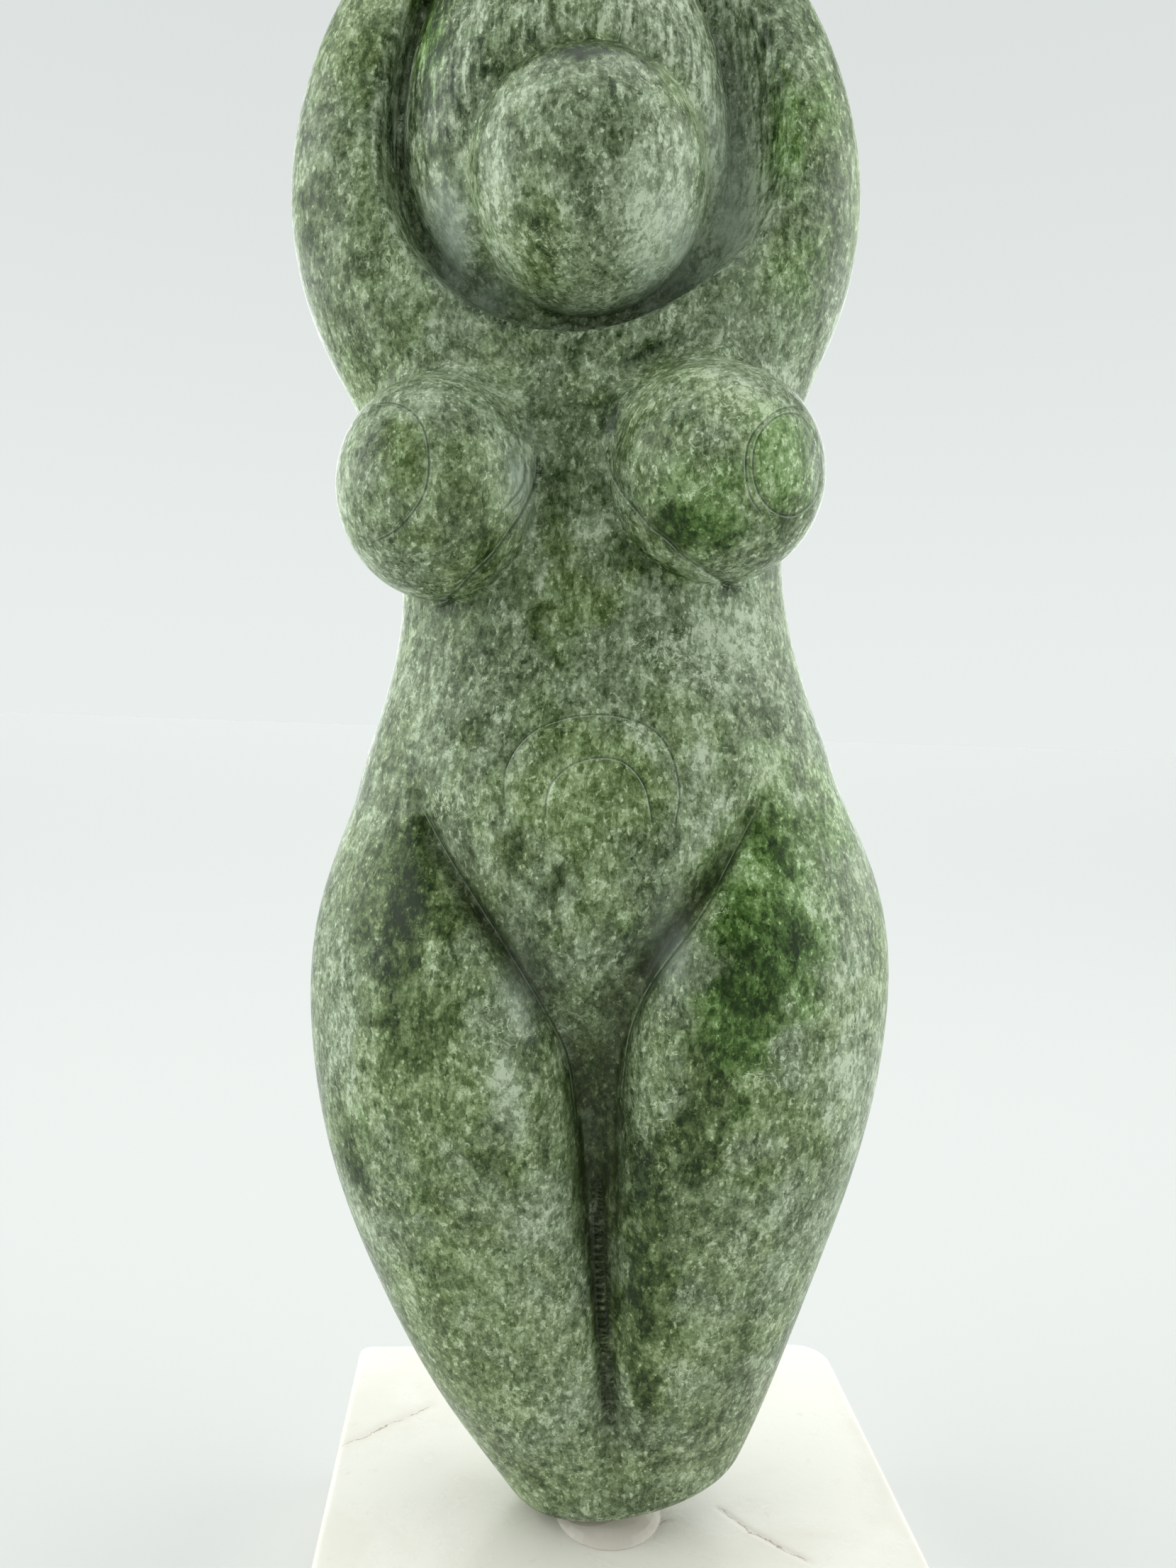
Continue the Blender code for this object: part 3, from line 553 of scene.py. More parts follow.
def belly_and_thigh_relief(x, z):
    """Height of the front relief: a V of folds, the belly in it, ridges beside it, and the cleft below."""
    inside = inside_folds(x, z)
    from_fold = np.sqrt(inside**2 + FOLD_SOFTNESS**2) - FOLD_SOFTNESS
    fold = curve_at(z, *FOLD_DEPTH)
    belly = curve_at(z, *BELLY_HEIGHT)
    belly_side = (belly + fold) * (1 - np.exp(-from_fold / BELLY_SPREAD)) - fold
    ridge_from_fold = curve_at(z, *THIGH_RIDGE_FROM_FOLD)
    rise = joined(from_fold / ridge_from_fold, 1.0, THIGH_RIDGE_ROUNDING)
    fall = np.exp(-np.maximum(from_fold - ridge_from_fold, 0) / THIGH_RIDGE_FALL)
    thigh_side = curve_at(z, *THIGH_RIDGE) * rise * fall - fold * np.exp(-from_fold / THIGH_SPREAD)
    return np.where(inside > 0, belly_side, thigh_side)


def collar_relief(x, z):
    """Two trenches that run from the breastbone up to the shoulders, steep on the side next to the neck."""
    height = 0.0
    for points, depth in zip((COLLAR_RIGHT, COLLAR_LEFT), COLLAR_DEPTHS):
        offset, from_end = path_field(x, z, points, COLLAR_REACH)
        width = np.where(offset > 0, COLLAR_STEEP_WIDTH, COLLAR_WIDTH)
        height = height - depth * unit(from_end, 0, COLLAR_TAPER) * hump(offset, width)
    return height


def back_relief(x, z):
    """The cleft between the buttocks and legs, and the spine."""
    return -curve_at(z, *CLEFT_DEPTH, *SPINE_DEPTH) * hump(x, BACK_GROOVE_WIDTH)


def arms(x, y, z):
    """The raised arms: a thick rounded arch that springs from the chest."""
    above = z > ARCH_CENTRE[1]
    across = (x - ARCH_CENTRE[0]) / ARCH_HALF_WIDTH
    up = np.abs(z - ARCH_CENTRE[1]) / np.where(above, ARCH_UP, ARCH_DOWN)
    reach = np.sqrt(across**2 + np.maximum(up, 1e-6) ** np.where(above, ARCH_POINTEDNESS, 2.0))
    outline = (reach - 1) * curve_at(z, *ARCH_REACH)
    thick = curve_at(z, *ARM_HALF_DEPTH)
    from_rim = np.maximum(outline + ARM_ROUNDING, 0) / ARM_ROUNDING
    return (np.sqrt(from_rim**2 + (y / thick) ** 2) - 1) * np.minimum(ARM_ROUNDING, thick)


def hollow_wall(x, y, z):
    """Negative within the egg-shaped wall of the hollow. The wall leans outwards, most on the right."""
    across, down, up = HOLLOW_RADII
    from_middle = x - HOLLOW_CENTRE[0]
    wide = np.where(from_middle > 0, HOLLOW_RIGHT_RADIUS, across)
    tall = np.where(z > HOLLOW_CENTRE[1], up, down)
    egg = rounded((from_middle / wide, (z - HOLLOW_CENTRE[1]) / tall), (wide, tall))
    to_right = np.clip(from_middle / across * 2, 0, 1)
    flare = HOLLOW_FLARE + (curve_at(z, *HOLLOW_RIGHT_FLARE) - HOLLOW_FLARE) * to_right
    return egg + flare * (y - HOLLOW_FLOOR)


def hollow_round_the_head(x, y, z):
    """The egg-shaped sinking in the front that leaves a groove between hair and arms."""
    return within(hollow_wall(x, y, z), y - HOLLOW_FLOOR, HOLLOW_ROUNDING)


def scratch_relief(x, y, z):
    """Fine scratches that run side by side along the hollow's wall."""
    scratches = sum(hump(y - level, SCRATCH_HALF_WIDTH) for level in SCRATCH_LEVELS)
    to_left = unit(x, SCRATCH_END, SCRATCH_END - SCRATCH_FADE)
    return -SCRATCH_DEPTH * scratches * to_left * hump(hollow_wall(x, y, z), WALL_REACH)


SMOOTH_LINES = [(smooth_path(points), half_width, depth) for half_width, depth, points in LINES]


def nearest_line(x, z):
    return nearest_path(x, z, [points for points, _, _ in SMOOTH_LINES], *LINE_SIZES)


def line_relief(x, z):
    """The fine lines and small pits, as narrow sinkings."""
    height = np.zeros(np.shape(x))
    for points, half_width, depth in SMOOTH_LINES:
        offset, strength = faded_path(x, z, points, *LINE_SIZES)
        height = height - depth * strength * hump(offset, half_width)
    for (centre_x, centre_z), radius, depth in PITS:
        height = height - depth * hump(np.hypot(x - centre_x, z - centre_z), radius)
    return height


def slit_relief(x, z):
    """The slit at the bottom of the cleft between the legs."""
    return -curve_at(z, *SLIT_DEPTH) * hump(from_slit(x, z), SLIT_HALF_WIDTH)


def read_table(table, x, z):
    """The table's values between its points."""
    low_x, low_z = TABLE_LOW
    across = np.clip((x - low_x) / TABLE_STEP, 0, table.shape[0] - 1.001)
    up = np.clip((z - low_z) / TABLE_STEP, 0, table.shape[1] - 1.001)
    i, j = across.astype(int), up.astype(int)
    s, t = across - i, up - j
    below = table[i, j] * (1 - s) + table[i + 1, j] * s
    above = table[i, j + 1] * (1 - s) + table[i + 1, j + 1] * s
    return below * (1 - t) + above * t


def terrace_relief(x, z):
    """The navel's rings: each is a low step whose foot is a soft trench."""
    height = 0.0
    for (centre_x, centre_z), (across, up) in TERRACES:
        ring = rounded(((x - centre_x) / across, (z - centre_z) / up), (across, up))
        height = height - TERRACE_DEPTH * hump(ring - TERRACE_FOOT, TERRACE_WIDTH)
        height = height + TERRACE_DEPTH * 0.5 / (1 + np.exp(np.clip(ring / TERRACE_STEEP, -30, 30)))
    return height * unit(z, *TERRACE_FADE)


TABLE_LINES = [np.arange(low, high, TABLE_STEP) for low, high in zip(TABLE_LOW, TABLE_HIGH)]
TABLE_PLACES = np.meshgrid(*TABLE_LINES, indexing="ij")
FINE_RELIEF = line_relief(*TABLE_PLACES) + terrace_relief(*TABLE_PLACES) + slit_relief(*TABLE_PLACES)


def plain_form(x, y, z):
    """The solid's form. Negative inside the stone, positive outside and about the distance to its surface."""
    from_middle = x - curve_at(z, *MIDDLE)
    form = legs_and_trunk(from_middle, y, z)
    form = form - facing(-y) * belly_and_thigh_relief(x, z)
    form = form - facing(y) * back_relief(from_middle, z)
    form = joined(form, arms(x, y, z), ARM_BLEND)
    form = form - facing(-y) * collar_relief(x, z)
    form = within(form, -hollow_round_the_head(x, y, z), HOLLOW_EDGE_ROUNDING)
    face, hair = face_and_hair(x, y, z)
    form = joined(form, hair, HAIR_BLEND)
    form = joined(form, face, FACE_BLEND)
    for centre, radii in BREASTS:
        form = joined(form, ellipsoid(x, y, z, centre, radii), curve_at(z, *BREAST_BLEND))
    foot_cut = FOOT_CUT_HEIGHT + FOOT_CUT_SLOPE * (x - FOOT_CUT_AT) - z
    return within(form, foot_cut, FOOT_ROUNDING) + INSET


def figure_form(x, y, z):
    """The solid's form with the fine relief on it."""
    return plain_form(x, y, z) - facing(-y) * (read_table(FINE_RELIEF, x, z) + scratch_relief(x, y, z))


def slope_of(form, points, reach):
    """The form's gradient at each point."""
    columns = []
    for shift in np.eye(3) * reach:
        columns.append(form(*(points + shift).T) - form(*(points - shift).T))
    return np.stack(columns, 1) / (2 * reach)


def settled(form, vertices, step, rounds):
    """The vertices moved onto the form's true surface."""
    for _ in range(rounds):
        slope = slope_of(form, vertices, PROBE * step)
        steep = np.maximum((slope**2).sum(1), LEAST_STEEPNESS)
        move = (form(*vertices.T) / steep)[:, None] * slope
        vertices = vertices - np.clip(move, -LONGEST_MOVE * step, LONGEST_MOVE * step)
    return vertices


def even_orders():
    """The orders of a tetrahedron's four corners that keep its handedness."""
    orders = []
    for order in itertools.permutations(range(4)):
        swaps = sum(order[i] > order[j] for i in range(4) for j in range(i + 1, 4))
        if swaps % 2 == 0:
            orders.append(order)
    return orders


def surface_mesh(form, low, high, step):
    """Vertices and triangles of the form's surface, from a grid whose cubes are six tetrahedra each."""
    lines = [np.arange(start, end + step, step) for start, end in zip(low, high)]
    value = form(*np.meshgrid(*lines, indexing="ij", sparse=True))
    inside = value < 0
    strides = np.array([value.shape[1] * value.shape[2], value.shape[2], 1])
    lower, upper = slice(None, -1), slice(1, None)
    corners_in = sum(inside[cube].astype(int) for cube in itertools.product((lower, upper), repeat=3))
    cubes = np.argwhere((corners_in > 0) & (corners_in < 8)) @ strides
    tetrahedra = []
    for order in itertools.permutations(range(3)):
        first = cubes + strides[order[0]]
        second = first + strides[order[1]]
        last = second + strides[order[2]]
        if order in ((0, 2, 1), (1, 0, 2), (2, 1, 0)):
            first, second = second, first
        tetrahedra.append(np.stack([cubes, first, second, last], 1))
    tetrahedra = np.concatenate(tetrahedra)
    corner_in = inside.ravel()[tetrahedra]
    pattern = corner_in @ [1, 2, 4, 8]
    ends = []
    done = set()
    for i, j, k, m in even_orders():
        one_in = ((i, j), (i, k), (i, m))
        one_out = ((i, m), (i, k), (i, j))
        two_in = ((i, k), (i, m), (j, m), (j, k))
        for mask, piece in ((2**i, one_in), (15 - 2**i, one_out), (2**i + 2**j, two_in)):
            if mask in done:
                continue
            done.add(mask)
            crossed = tetrahedra[pattern == mask]
            for a, b in zip(piece[1:-1], piece[2:]):
                ends.append(np.stack([crossed[:, piece[0]], crossed[:, a], crossed[:, b]], 1))
    ends = np.sort(np.concatenate(ends), axis=2)
    size = value.size
    keys, number = np.unique(ends[..., 0] * size + ends[..., 1], return_inverse=True)
    first, last = keys // size, keys % size
    start = np.stack(np.unravel_index(first, value.shape), 1)
    end = np.stack(np.unravel_index(last, value.shape), 1)
    before = value.ravel()[first]
    after = value.ravel()[last]
    share = np.clip(before / (before - after), LEAST_SHARE, 1 - LEAST_SHARE)
    vertices = np.array(low) + (start + (end - start) * share[:, None]) * step
    return settled(form, vertices, step, SETTLING_ROUNDS), number.reshape(-1, 3)


def figure_box():
    """The low and high corners of the figure's grid, in grid units."""
    half_width = max(ARCH_HALF_WIDTH, *dict(HALF_WIDTH).values()) + GRID_ROOM
    front = max(*dict(FRONT_DEPTH).values(), *(radii[1] - centre[1] for centre, radii in BREASTS)) + GRID_ROOM
    back = max(*dict(BACK_DEPTH).values(), BUTTOCK[0][1] + BUTTOCK[1][1]) + GRID_ROOM
    top = ARCH_CENTRE[1] + ARCH_UP + GRID_ROOM
    return (-half_width, -front, -GRID_ROOM), (half_width, back, top)


def figure_placing():
    """From the figure's own upright grid to its place on the block."""
    lean = Matrix.Rotation(math.radians(-FIGURE_LEAN_DEG), 4, "Y")
    turn = Matrix.Rotation(math.radians(FIGURE_TURN_DEG), 4, "Z")
    foot = Matrix.Translation((FIGURE_X, FIGURE_Y, BLOCK_TOP + FOOT_LIFT))
    return foot @ turn @ lean @ Matrix.Scale(FIGURE_HEIGHT / GRID_HEIGHT, 4)


def placed(name, data):
    """A new object in the scene."""
    made = bpy.data.objects.new(name, data)
    bpy.context.scene.collection.objects.link(made)
    return made


def coordinates(mesh):
    flat = np.zeros(len(mesh.vertices) * 3)
    mesh.vertices.foreach_get("co", flat)
    return flat.reshape(-1, 3)


def face_and_hair(x, y, z):
    """The forms of the face and of the hair round it."""
    (across, up), reach = FACE_FACET
    facet = (x - FACE[0][0]) * across + (z - FACE[0][2]) * up - reach
    face = within(ellipsoid(x, y, z, *FACE), facet, FACE_FACET_ROUNDING)
    hair = ellipsoid(x, y, z, *HAIR, HAIR_LEFT_RADIUS)
    return face, hair + FACE_TRENCH_DEPTH * facing(-y) * hump(np.maximum(face, 0), FACE_TRENCH_WIDTH)


def wanted_edge(x, y, z):
    """How long an edge of the mesh may be at a point, by the finest carving there."""
    face, hair = face_and_hair(x, y, z)
    wanted = np.full(np.shape(x), LONGEST_EDGE)
    wanted[(np.abs(face - hair) < FACE_BAND) & (np.abs(face) < FACE_BAND)] = FACE_EDGE
    wanted[from_slit(x, z) < SLIT_HALF_WIDTH * 2] = SLIT_EDGE
    wanted[(np.abs(hollow_wall(x, y, z)) < WALL_REACH) & (y > SCRATCH_LEVELS[-1] - 1)] = SCRATCH_EDGE
    wanted[np.abs(nearest_line(x, z)[0]) < LINE_BAND] = FINEST_EDGE
    wanted[y > -SIDE_DEPTH] = LONGEST_EDGE
    return wanted


def split_long_edges(mesh):
    """Splits the edges that are long for the carving, and puts their new vertices on the surface."""
    points = coordinates(mesh)
    ends = np.zeros(len(mesh.edges) * 2, np.int32)
    mesh.edges.foreach_get("vertices", ends)
    ends = points[ends.reshape(-1, 2)]
    length = np.linalg.norm(ends[:, 0] - ends[:, 1], axis=1)
    long = np.flatnonzero(length > FINEST_EDGE)
    long = long[length[long] > wanted_edge(*ends[long].mean(1).T)]
    form = bmesh.new()
    form.from_mesh(mesh)
    form.edges.ensure_lookup_table()
    bmesh.ops.subdivide_edges(form, edges=[form.edges[k] for k in long.tolist()], cuts=1)
    bmesh.ops.triangulate(form, faces=[face for face in form.faces if len(face.verts) > 3])
    form.to_mesh(mesh)
    form.free()
    count = len(points)
    points = coordinates(mesh)
    points[count:] = settled(figure_form, points[count:], FINEST_EDGE * 2, 1)
    mesh.vertices.foreach_set("co", points.ravel())


def thinned(mesh):
    """The mesh with fewer triangles where the surface is plain."""
    share = FIGURE_TRIANGLES / len(mesh.polygons)
    if share >= 1:
        return mesh
    dense = placed("dense_stone", mesh)
    dense.modifiers.new("thinner", "DECIMATE").ratio = share
    thin = bpy.data.meshes.new_from_object(dense.evaluated_get(bpy.context.evaluated_depsgraph_get()))
    bpy.data.objects.remove(dense)
    return thin


def remove_flaps(mesh):
    """Takes out the faces that thinning can leave lying back to back on the same corners."""
    form = bmesh.new()
    form.from_mesh(mesh)
    by_corners = {}
    for face in form.faces:
        by_corners.setdefault(frozenset(corner.index for corner in face.verts), []).append(face)
    flaps = []
    for faces in by_corners.values():
        if len(faces) > 1:
            facing_most = sum((face.normal for face in faces), Vector())
            faces.sort(key=lambda face: face.normal.dot(facing_most))
            flaps += faces[: len(faces) // 2 * 2]
    bmesh.ops.delete(form, geom=flaps, context="FACES")
    form.to_mesh(mesh)
    form.free()


def fold_shade(x, z):
    """1 along the folds and the slit, fading over the belly beside them and sooner over the thighs: where
    painted shade darkens the stone.
    """
    inside = inside_folds(x, z)
    fold = hump(inside, np.where(inside > 0, FOLD_SHADE_WIDTH, FOLD_SHADE_THIGH_WIDTH))
    slit = hump(from_slit(x, z), SLIT_SHADE_WIDTH) * np.clip(curve_at(z, *SLIT_DEPTH), 0, 1)
    return np.maximum(fold * unit(curve_at(z, *FOLD_DEPTH), 0, FULL_SHADE_DEPTH), slit)


def streaked(x, y, z):
    """1 on the hood and on the hollow's wall, which the tool left with fine upright streaks."""
    face, hair = face_and_hair(x, y, z)
    hood = unit(np.abs(hair), *STREAK_EDGE) * unit(face, *STREAKS_FROM_FACE)
    wall = unit(np.abs(hollow_wall(x, y, z)), *STREAK_EDGE)
    return np.maximum(hood, wall) * facing(-y)


def patch_share(x, z, patches):
    """0 to 1 by how far a point of the front view is within the patches."""
    share = np.zeros(np.shape(x))
    for centre_x, centre_z, across, up, strength in patches:
        away = np.hypot((x - centre_x) / across, (z - centre_z) / up)
        share = np.maximum(share, strength * hump(away, 1.0))
    return share


def sunken(form, points, steepness, normals, probes):
    """0 on open surface, rising in hollows or, with probes below 0 that reach inwards, along ridges."""
    share = np.zeros(len(points))
    for probe in probes:
        share += np.clip(1 - form(*(points + normals * probe).T) / (steepness * probe), 0, 1)
    return share / len(probes)


def carry(mesh, values):
    """Stores values at the mesh's vertices, for its material to read."""
    for name, value in values.items():
        mesh.attributes.new(name, "FLOAT", "POINT").data.foreach_set("value", value.astype(np.float32))


def paint(mesh, points):
    """What the stone's colour needs to know at each vertex: painted shade in hollows and folds, painted
    highlights along ridges, cut lines and patches.
    """
    slope = slope_of(figure_form, points, SLOPE_REACH)
    steepness = np.linalg.norm(slope, axis=1)
    normals = slope / steepness[:, None]
    x, y, z = points.T
    front = unit(y, *FRONT_FADE)
    offset, strength = nearest_line(x, z)
    streaks = streaked(x, y, z)
    lit_groove = GROOVE_LIGHT_SHARE * unit(z, *GROOVE_LIGHT_HEIGHTS) * unit(y, *GROOVE_LIGHT_DEPTHS)
    values = {
        # painted shade in hollows, less where the groove round the head is lit
        "hollow": sunken(figure_form, points, steepness, normals, HOLLOW_PROBES) * (1 - lit_groove),
        # painted shade along the folds and the slit
        "fold": fold_shade(x, z) * front,
        # painted highlight along ridges, left off the streaked wall of the hollow
        "ridge_highlight": sunken(figure_form, points, steepness, normals, RIDGE_PROBES) * (1 - streaks),
        "line_side": offset,
        "line_strength": strength * (y < -SIDE_DEPTH),
        "streaks": streaks,
    }
    # patches of the stone's colour, some of them painted shade and painted reflections
    for name, patches in PATCHES.items():
        values[name] = patch_share(x, z, patches) * front
    carry(mesh, values)


def build_figure():
    step = FINE_STEP
    vertices, faces = surface_mesh(plain_form, *figure_box(), step)
    mesh = bpy.data.meshes.new("goddess_stone")
    mesh.from_pydata(vertices.tolist(), [], faces.tolist())
    for _ in range(SPLITTING_ROUNDS):
        split_long_edges(mesh)
    mesh = thinned(mesh)
    remove_flaps(mesh)
    points = settled(figure_form, coordinates(mesh), FINEST_EDGE * 2, 1)
    mesh.vertices.foreach_set("co", points.ravel())
    paint(mesh, points)
    mesh.transform(figure_placing())
    mesh.shade_smooth()
    mesh.update()
    print("goddess_stone triangles", len(mesh.polygons))
    figure = placed("goddess_stone", mesh)
    figure.data.materials.append(green_stone())
    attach(figure, "root")
    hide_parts("goddess_figure")


class Nodes:
    """A short way to write the nodes of a material or a world."""

    def __init__(self, owner):
        owner.use_nodes = True
        self.owner = owner
        self.tree = owner.node_tree
        self.places = self.add("ShaderNodeTexCoord").outputs
        self.place = self.places["Object"]

    def fill(self, node, inputs):
        """Gives a node's inputs these values or links."""
        for key, value in inputs.items():
            socket = node.inputs[key]
            if isinstance(value, bpy.types.NodeSocket):
                self.tree.links.new(value, socket)
            elif socket.type == "RGBA":
                socket.default_value = (*value, 1.0)
            else:
                socket.default_value = value

    def add(self, kind, inputs=None, **settings):
        node = self.tree.nodes.new(kind)
        for key, value in settings.items():
            setattr(node, key, value)
        self.fill(node, inputs or {})
        return node

    def shade(self, inputs):
        """Fills the shader's inputs and hands over the material."""
        self.fill(self.tree.nodes["Principled BSDF"], inputs)
        return self.owner

    def noise(self, size, detail=4.0, roughness=0.6, distortion=0.0, place=None):
        """A noise from 0 to 1 whose features are about this size in metres."""
        inputs = {"Scale": 1 / size, "Detail": detail, "Roughness": roughness, "Distortion": distortion}
        inputs["Vector"] = place or self.place
        return self.add("ShaderNodeTexNoise", inputs).outputs["Fac"]

    def cells(self, size, warp, place):
        """A random value for each crystal of about this size in metres, with warped edges."""
        noise = self.add("ShaderNodeTexNoise", {"Scale": 1 / size, "Detail": 3.0, "Vector": place})
        inputs = {0: noise.outputs["Color"], 1: (warp, warp, warp), 2: place}
        warped = self.add("ShaderNodeVectorMath", inputs, operation="MULTIPLY_ADD")
        crystals = self.add("ShaderNodeTexVoronoi", {"Scale": 1 / size, "Vector": warped.outputs[0]})
        return self.add("ShaderNodeSeparateColor", {0: crystals.outputs["Color"]}).outputs[0]

    def attribute(self, name):
        """A value that the mesh carries at its vertices."""
        return self.add("ShaderNodeAttribute", attribute_name=name).outputs["Fac"]

    def stretched(self, turn, upwards):
        """Places turned about the Y axis and then drawn out upwards, by a scale below 1."""
        inputs = {"Rotation": (0.0, turn, 0.0), "Scale": (1.0, 1.0, upwards), "Vector": self.place}
        return self.add("ShaderNodeMapping", inputs).outputs["Vector"]

    def steps(self, value, low, high, at_low=0.0, at_high=1.0):
        """The value, stretched smoothly so that low to high becomes at_low to at_high."""
        inputs = {"Value": value, "From Min": low, "From Max": high, "To Min": at_low, "To Max": at_high}
        return self.add("ShaderNodeMapRange", inputs, interpolation_type="SMOOTHSTEP").outputs["Result"]

    def worked(self, operation, first, *others):
        """The values worked together, one after the other."""
        for other in others:
            first = self.add("ShaderNodeMath", {0: first, 1: other}, operation=operation).outputs[0]
        return first

    def sum(self, *values):
        return self.worked("ADD", *values)

    def times(self, *values):
        return self.worked("MULTIPLY", *values)

    def size(self, value):
        """The value without its sign."""
        return self.worked("ABSOLUTE", value, 0.0)

    def mix(self, share, first, second):
        """A colour between two others."""
        return self.add("ShaderNodeMix", {0: share, 6: first, 7: second}, data_type="RGBA").outputs[2]

    def ramp(self, value, stops):
        """A colour for the value, from (value, colour) stops."""
        node = self.add("ShaderNodeValToRGB", {"Fac": value})
        elements = node.color_ramp.elements
        while len(elements) < len(stops):
            elements.new(0.5)
        for element, (place, colour) in zip(elements, stops):
            element.position = place
            element.color = (*colour, 1.0)
        return node.outputs["Color"]

    def bump(self, height, distance, strength, **before):
        inputs = {"Height": height, "Distance": distance, "Strength": strength, **before}
        return self.add("ShaderNodeBump", inputs).outputs["Normal"]


def green_stone():
    """Polished grey-green stone with dark, olive and pale mint patches and a fine slanting grain, with
    painted shade in hollows, folds and line cores, and painted highlights and reflections on ridges, line
    lips and some pale patches.
    """
    made = Nodes(bpy.data.materials.new("green_stone_polished"))
    slanting = made.stretched(GRAIN_SLANT, 0.75)
    clouds = made.noise(0.013, detail=6, roughness=0.72, distortion=0.25, place=slanting)
    mottles = made.noise(0.0045, detail=5, roughness=0.75, distortion=0.6)
    grain = made.noise(0.0010, detail=3, roughness=0.75, distortion=0.4, place=slanting)
    powder = made.noise(0.00045, detail=2, roughness=0.7)
    crystals = made.cells(0.0007, 0.0008, made.stretched(GRAIN_SLANT, 0.5))
    clusters = made.cells(0.0028, 0.0040, slanting)
    tool_streaks = made.noise(0.0011, detail=3, place=made.stretched(0.0, 0.12))
    broad = made.noise(0.020, detail=3, roughness=0.55, distortion=0.5)
    edges = made.noise(0.0060, detail=2, roughness=0.5, distortion=0.4)
    threads = made.noise(0.0030, detail=2, roughness=0.5, distortion=1.2, place=slanting)
    sparse = made.steps(made.noise(0.0070, detail=3, place=slanting), 0.54, 0.64)
    flakes = made.noise(0.0026, detail=5, roughness=0.72, distortion=0.9, place=slanting)
    flecks = made.noise(0.0009, detail=2, place=slanting)
    fold = made.attribute("fold")
    streaks = made.attribute("streaks")

    ragged = made.times(made.sum(edges, -0.5), 1.5)
    deep, olive, pale, vivid = (
        made.steps(made.sum(made.attribute(f"{kind}_patch"), ragged), 0.15, 0.9)
        for kind in ("deep", "olive", "pale", "vivid")
    )

    tone = TONE_MIDDLE
    for layer, gain in (
        (clouds, 1.2), (mottles, 0.9), (grain, 1.0), (powder, 0.5), (crystals, 0.30), (clusters, 0.12),
    ):
        tone = made.sum(tone, made.times(made.sum(layer, -0.5), gain))
    tone = made.sum(tone, made.times(made.sum(tool_streaks, -0.5), 1.5, streaks))
    # painted reflections in the pale patches, painted shade in the deep patches and along the folds, with the
    # stone's own pale, dark and olive tones
    for share, gain in ((pale, 0.20), (deep, -0.42), (olive, -0.04), (fold, -0.20)):
        tone = made.sum(tone, made.times(share, gain))
    # painted shade in hollows and a painted highlight along ridges, then the stone's own flakes and flecks
    for value, *change in (
        (made.attribute("hollow"), 0.10, 0.80, 0.0, -0.26),
        (made.attribute("ridge_highlight"), 0.15, 0.80, 0.0, 0.16),
        (flakes, 0.54, 0.62, 0.0, 0.09),
        (flakes, 0.36, 0.45, -0.06, 0.0),
        (flecks, 0.60, 0.69, 0.0, 0.32),
        (flecks, 0.22, 0.30, -0.25, 0.0),
    ):
        tone = made.sum(tone, made.steps(value, *change))
    off_thread = made.size(made.sum(threads, -0.5))
    tone = made.sum(tone, made.times(made.steps(off_thread, 0.004, 0.016, 0.34, 0.0), sparse))

    greener = made.steps(broad, 0.40, 0.62, 0.1, 0.7)
    for share, gain in ((olive, 0.8), (streaks, -0.30), (deep, 0.45), (pale, -0.6)):
        greener = made.sum(greener, made.times(share, gain))
    colour = made.mix(greener, made.ramp(tone, GREY_TONES), made.ramp(tone, OLIVE_TONES))
    colour = made.mix(made.times(vivid, 0.8), colour, made.ramp(tone, VIVID_TONES))
    # painted sheen: a pale reflection of the tent, broken up by the clouds
    sheen = made.times(made.attribute("painted_sheen_patch"), made.steps(clouds, 0.35, 0.65, 0.5, 0.9))
    colour = made.mix(sheen, colour, PAINTED_SHEEN_COLOUR)
    # painted shade along the folds and the slit
    colour = made.mix(made.times(fold, 0.36), colour, FOLD_SHADE_COLOUR)

    # painted highlights on the lips of the cut lines, paler on one side, and painted shade in their cores
    line_side = made.attribute("line_side")
    away = made.size(line_side)
    strength = made.attribute("line_strength")
    lip_gaps = made.times(made.steps(made.noise(0.0016, detail=3), 0.34, 0.56), 0.56)
    lip = made.times(made.steps(away, 0.10, 0.18), made.steps(away, 0.20, 0.30, 1.0, 0.0))
    lip = made.times(lip, made.steps(line_side, -0.1, 0.1, 1.0, 0.25), made.steps(fold, 0.1, 0.7, 1.0, 0.7))
    colour = made.mix(made.times(lip, strength, lip_gaps), colour, LIP_HIGHLIGHT_COLOUR)
    core = made.times(made.steps(away, 0.05, 0.28, 0.50, 0.0), strength)
    colour = made.mix(core, colour, LINE_SHADE_COLOUR)

    dull = made.steps(made.worked("MAXIMUM", fold, made.times(deep, 0.8)), 0.1, 0.9, 0.0, 0.12)
    normal = made.bump(made.noise(0.004, detail=3), 0.0003, 0.35)
    return made.shade({
        "Base Color": colour,
        "Roughness": made.sum(made.steps(clouds, 0.40, 0.60, 0.22, 0.34), dull),
        "IOR": 1.62,
        "Specular IOR Level": 0.14,
        "Subsurface Weight": 0.15,
        "Subsurface Radius": (0.8, 1.0, 0.6),
        "Subsurface Scale": 0.001,
        "Normal": made.bump(grain, 0.00008, 0.5, Normal=normal),
    })


